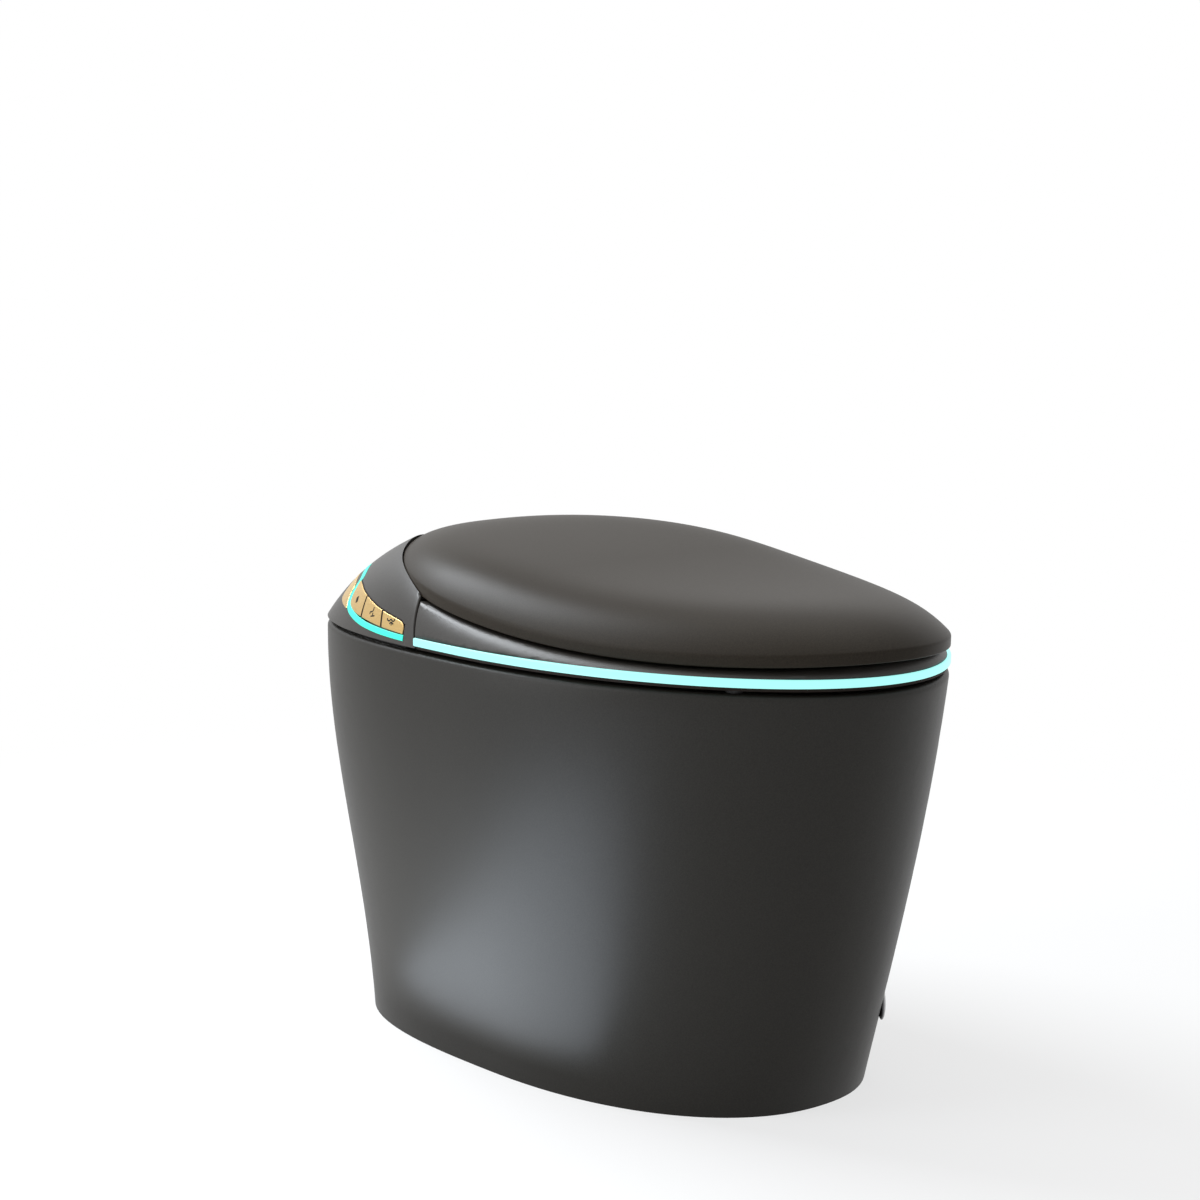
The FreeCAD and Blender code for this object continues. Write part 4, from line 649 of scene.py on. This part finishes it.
def key_bezel_and_shade_lines():
    """Dark brown lines in the grooves between the keys and along the keys' upper edge, a hair over the flank:
    partly the dark bezel, partly painted shade where the grooves and the keys' edge lie in shade.
    """
    across = np.linspace(0, 1, MARK_STEPS)[:, None]
    # Painted shade in each groove between two keys
    for number, split in enumerate(KEY_SPLIT_SHARES[1:-1]):
        low, top = smooth_line(KEY_FOOT, split), smooth_line(KEY_HEAD, split)
        line = low + across * (top - low)
        half = sideways(line) * GROOVE_LINE_W / 2
        mesh = panel_slab(f"groove_shade_line_{number}", line + half, line - half, SHADE_LINE_PROUD, SHADE_LINE_PROUD, SHADE_LINE_DEPTH)
        piece(mesh, "base", BEZEL_AND_SHADE_BROWN)
    # Painted shadow along the keys' upper edge
    head = key_lines(0, 1)[1]
    mesh = panel_slab("head_shade_line", head, head - HEAD_LINE_W * sideways(head), SHADE_LINE_PROUD, SHADE_LINE_PROUD, SHADE_LINE_DEPTH)
    piece(mesh, "base", BEZEL_AND_SHADE_BROWN)


def light_line():
    """Half-round light guide along the panel's lower line, wider towards the rear."""
    shares = np.linspace(0, 1, PANEL_STEPS)
    line = smooth_line(LIGHT_LINE, shares)
    half = (LIGHT_FRONT_W + (LIGHT_REAR_W - LIGHT_FRONT_W) * shares)[:, None] / 2
    foot, head = line + half * sideways(line), line - half * sideways(line)
    mesh = panel_slab("panel_light_line", foot, head, LIGHT_PROUD, LIGHT_PROUD, LIGHT_DEPTH)
    piece(mesh, "base", PANEL_GLOW, ("panel_light",))


def rear_trim():
    """Gold strip outside the light line, pointed at both ends, that runs round the corner, and the bed
    in the shell's own paint that it lies on."""
    shares = np.linspace(0, 1, PANEL_STEPS)
    outer, inner = smooth_line(TRIM_OUTER, shares), smooth_line(TRIM_INNER, shares)
    mesh = panel_slab("rear_trim", outer, inner, LIGHT_PROUD, LIGHT_PROUD, LIGHT_DEPTH)
    piece(mesh, "base", GOLD, ("panel_trim",))
    far, near = smooth_line(TRIM_BED_FAR, shares), smooth_line(TRIM_BED_NEAR, shares)
    mesh = panel_slab("trim_bed", far, near, TRIM_BED_PROUD, TRIM_BED_PROUD, LIGHT_DEPTH)
    piece(mesh, "base", SHELL)


def marks():
    """Printed strokes, each a thin ribbon along a smooth line, that ride on their keys."""
    shares = np.linspace(0, 1, MARK_STEPS)
    top, depth = KEY_PROUD + MARK_RISE, MARK_DEPTH - KEY_PROUD
    for name, strokes, width in MARKS:
        for number, points in enumerate(strokes):
            line = smooth_line(points, shares)
            half = sideways(line) * width / 2
            mesh = panel_slab(f"{name}_mark_{number}", line + half, line - half, top, MARK_RISE, depth)
            piece(mesh, name + "_key", MARK)


# Studio
def camera():
    lens = bpy.data.cameras.new("photo_camera")
    lens.sensor_width = SENSOR_MM
    lens.lens = FOCAL_PX * SENSOR_MM / PHOTO_SIDE_PX
    eye = bpy.data.objects.new("photo_camera", lens)
    look, up = Vector(CAMERA_LOOK).normalized(), Vector(CAMERA_UP).normalized()
    right = look.cross(up)
    turn = Matrix((right, right.cross(look), -look)).transposed()
    eye.matrix_world = Matrix.Translation(Vector(CAMERA_AT) * MM) @ turn.to_4x4()
    bpy.context.scene.collection.objects.link(eye)
    bpy.context.scene.camera = eye


def soft_box(name, place, aim, size, power, colour):
    lamp = bpy.data.lights.new(name, "AREA")
    lamp.shape = "RECTANGLE"
    lamp.size, lamp.size_y = size
    lamp.energy = power
    lamp.color = colour
    holder = bpy.data.objects.new(name, lamp)
    holder.location = place
    holder.rotation_euler = (Vector(aim) - Vector(place)).to_track_quat("-Z", "Y").to_euler()
    holder.visible_camera = False
    bpy.context.scene.collection.objects.link(holder)


def white_to_camera(tree, lit, white):
    """Chooses white where a camera, glossy or transmission ray ends, and the lit shader elsewhere."""
    rays = tree.nodes.new("ShaderNodeLightPath").outputs
    chosen = rays["Is Camera Ray"]
    for ray in ("Is Glossy Ray", "Is Transmission Ray"):
        either = tree.nodes.new("ShaderNodeMath")
        either.operation = "MAXIMUM"
        tree.links.new(chosen, either.inputs[0])
        tree.links.new(rays[ray], either.inputs[1])
        chosen = either.outputs[0]
    mix = tree.nodes.new("ShaderNodeMixShader")
    tree.links.new(chosen, mix.inputs[0])
    tree.links.new(lit, mix.inputs[1])
    tree.links.new(white, mix.inputs[2])
    return mix.outputs[0]


def surroundings():
    world = bpy.data.worlds.new("studio")
    bpy.context.scene.world = world
    world.use_nodes = True
    tree = world.node_tree
    lit = tree.nodes["Background"]
    lit.inputs["Color"].default_value = WORLD_COLOUR
    lit.inputs["Strength"].default_value = WORLD_STRENGTH
    white = tree.nodes.new("ShaderNodeBackground")
    white.inputs["Strength"].default_value = 1.0
    white.inputs["Color"].default_value = (1, 1, 1, 1)
    shown = white_to_camera(tree, lit.outputs[0], white.outputs[0])
    tree.links.new(shown, tree.nodes["World Output"].inputs["Surface"])


def floor():
    """A wide pale disc at the object's foot, that the camera sees as ever more plainly white away from it."""
    angle = np.linspace(0, 2 * math.pi, FLOOR_SIDES, endpoint=False)
    rim = np.stack([np.cos(angle), np.sin(angle), 0 * angle], axis=-1) * FLOOR_R
    mesh = bpy.data.meshes.new("floor")
    mesh.from_pydata(rim.tolist(), [], [list(range(len(rim)))])
    obj = bpy.data.objects.new("floor", mesh)
    bpy.context.scene.collection.objects.link(obj)
    material = bpy.data.materials.new("pale_floor")
    material.use_nodes = True
    tree = material.node_tree
    lit = tree.nodes["Principled BSDF"]
    lit.inputs["Base Color"].default_value = FLOOR_COLOUR
    lit.inputs["Roughness"].default_value = FLOOR_ROUGHNESS
    lit.inputs["Specular IOR Level"].default_value = 0.0
    white = tree.nodes.new("ShaderNodeEmission")
    blend = tree.nodes.new("ShaderNodeMixShader")
    place = tree.nodes.new("ShaderNodeTexCoord")
    away = tree.nodes.new("ShaderNodeVectorMath")
    away.operation = "LENGTH"
    fade = tree.nodes.new("ShaderNodeMapRange")
    fade.interpolation_type = "SMOOTHSTEP"
    fade.inputs["From Min"].default_value = FLOOR_SHADOW_R
    fade.inputs["From Max"].default_value = FLOOR_WHITE_R
    fade.inputs["To Min"].default_value = FLOOR_NEAR_WHITE
    fade.inputs["To Max"].default_value = 1.0
    tree.links.new(place.outputs["Object"], away.inputs[0])
    tree.links.new(away.outputs["Value"], fade.inputs["Value"])
    tree.links.new(fade.outputs["Result"], blend.inputs[0])
    tree.links.new(lit.outputs[0], blend.inputs[1])
    tree.links.new(white.outputs[0], blend.inputs[2])
    shown = white_to_camera(tree, lit.outputs[0], blend.outputs[0])
    tree.links.new(shown, tree.nodes["Material Output"].inputs["Surface"])
    mesh.materials.append(material)


def studio():
    bpy.context.scene.view_settings.view_transform = "Standard"
    camera()
    surroundings()
    floor()
    for lamp in LAMPS:
        soft_box(*lamp)


dress_nodes()
nodes["key_bezel"].data.materials[0] = SHELL
piece(merged_copy("ceramic_body"), "base", GLAZE, ("ceramic_body",), CAD_SHARP_DEG)
piece(merged_copy("rear_housing"), "base", SHELL, ("rear_housing",), CAD_SHARP_DEG)
piece(merged_copy("seat_shell"), "seat", SHELL, ("seat_shell",), CAD_SHARP_DEG)
lid_cover()
light_strip()
key_bezel_and_shade_lines()
keys()
light_line()
rear_trim()
marks()
studio()
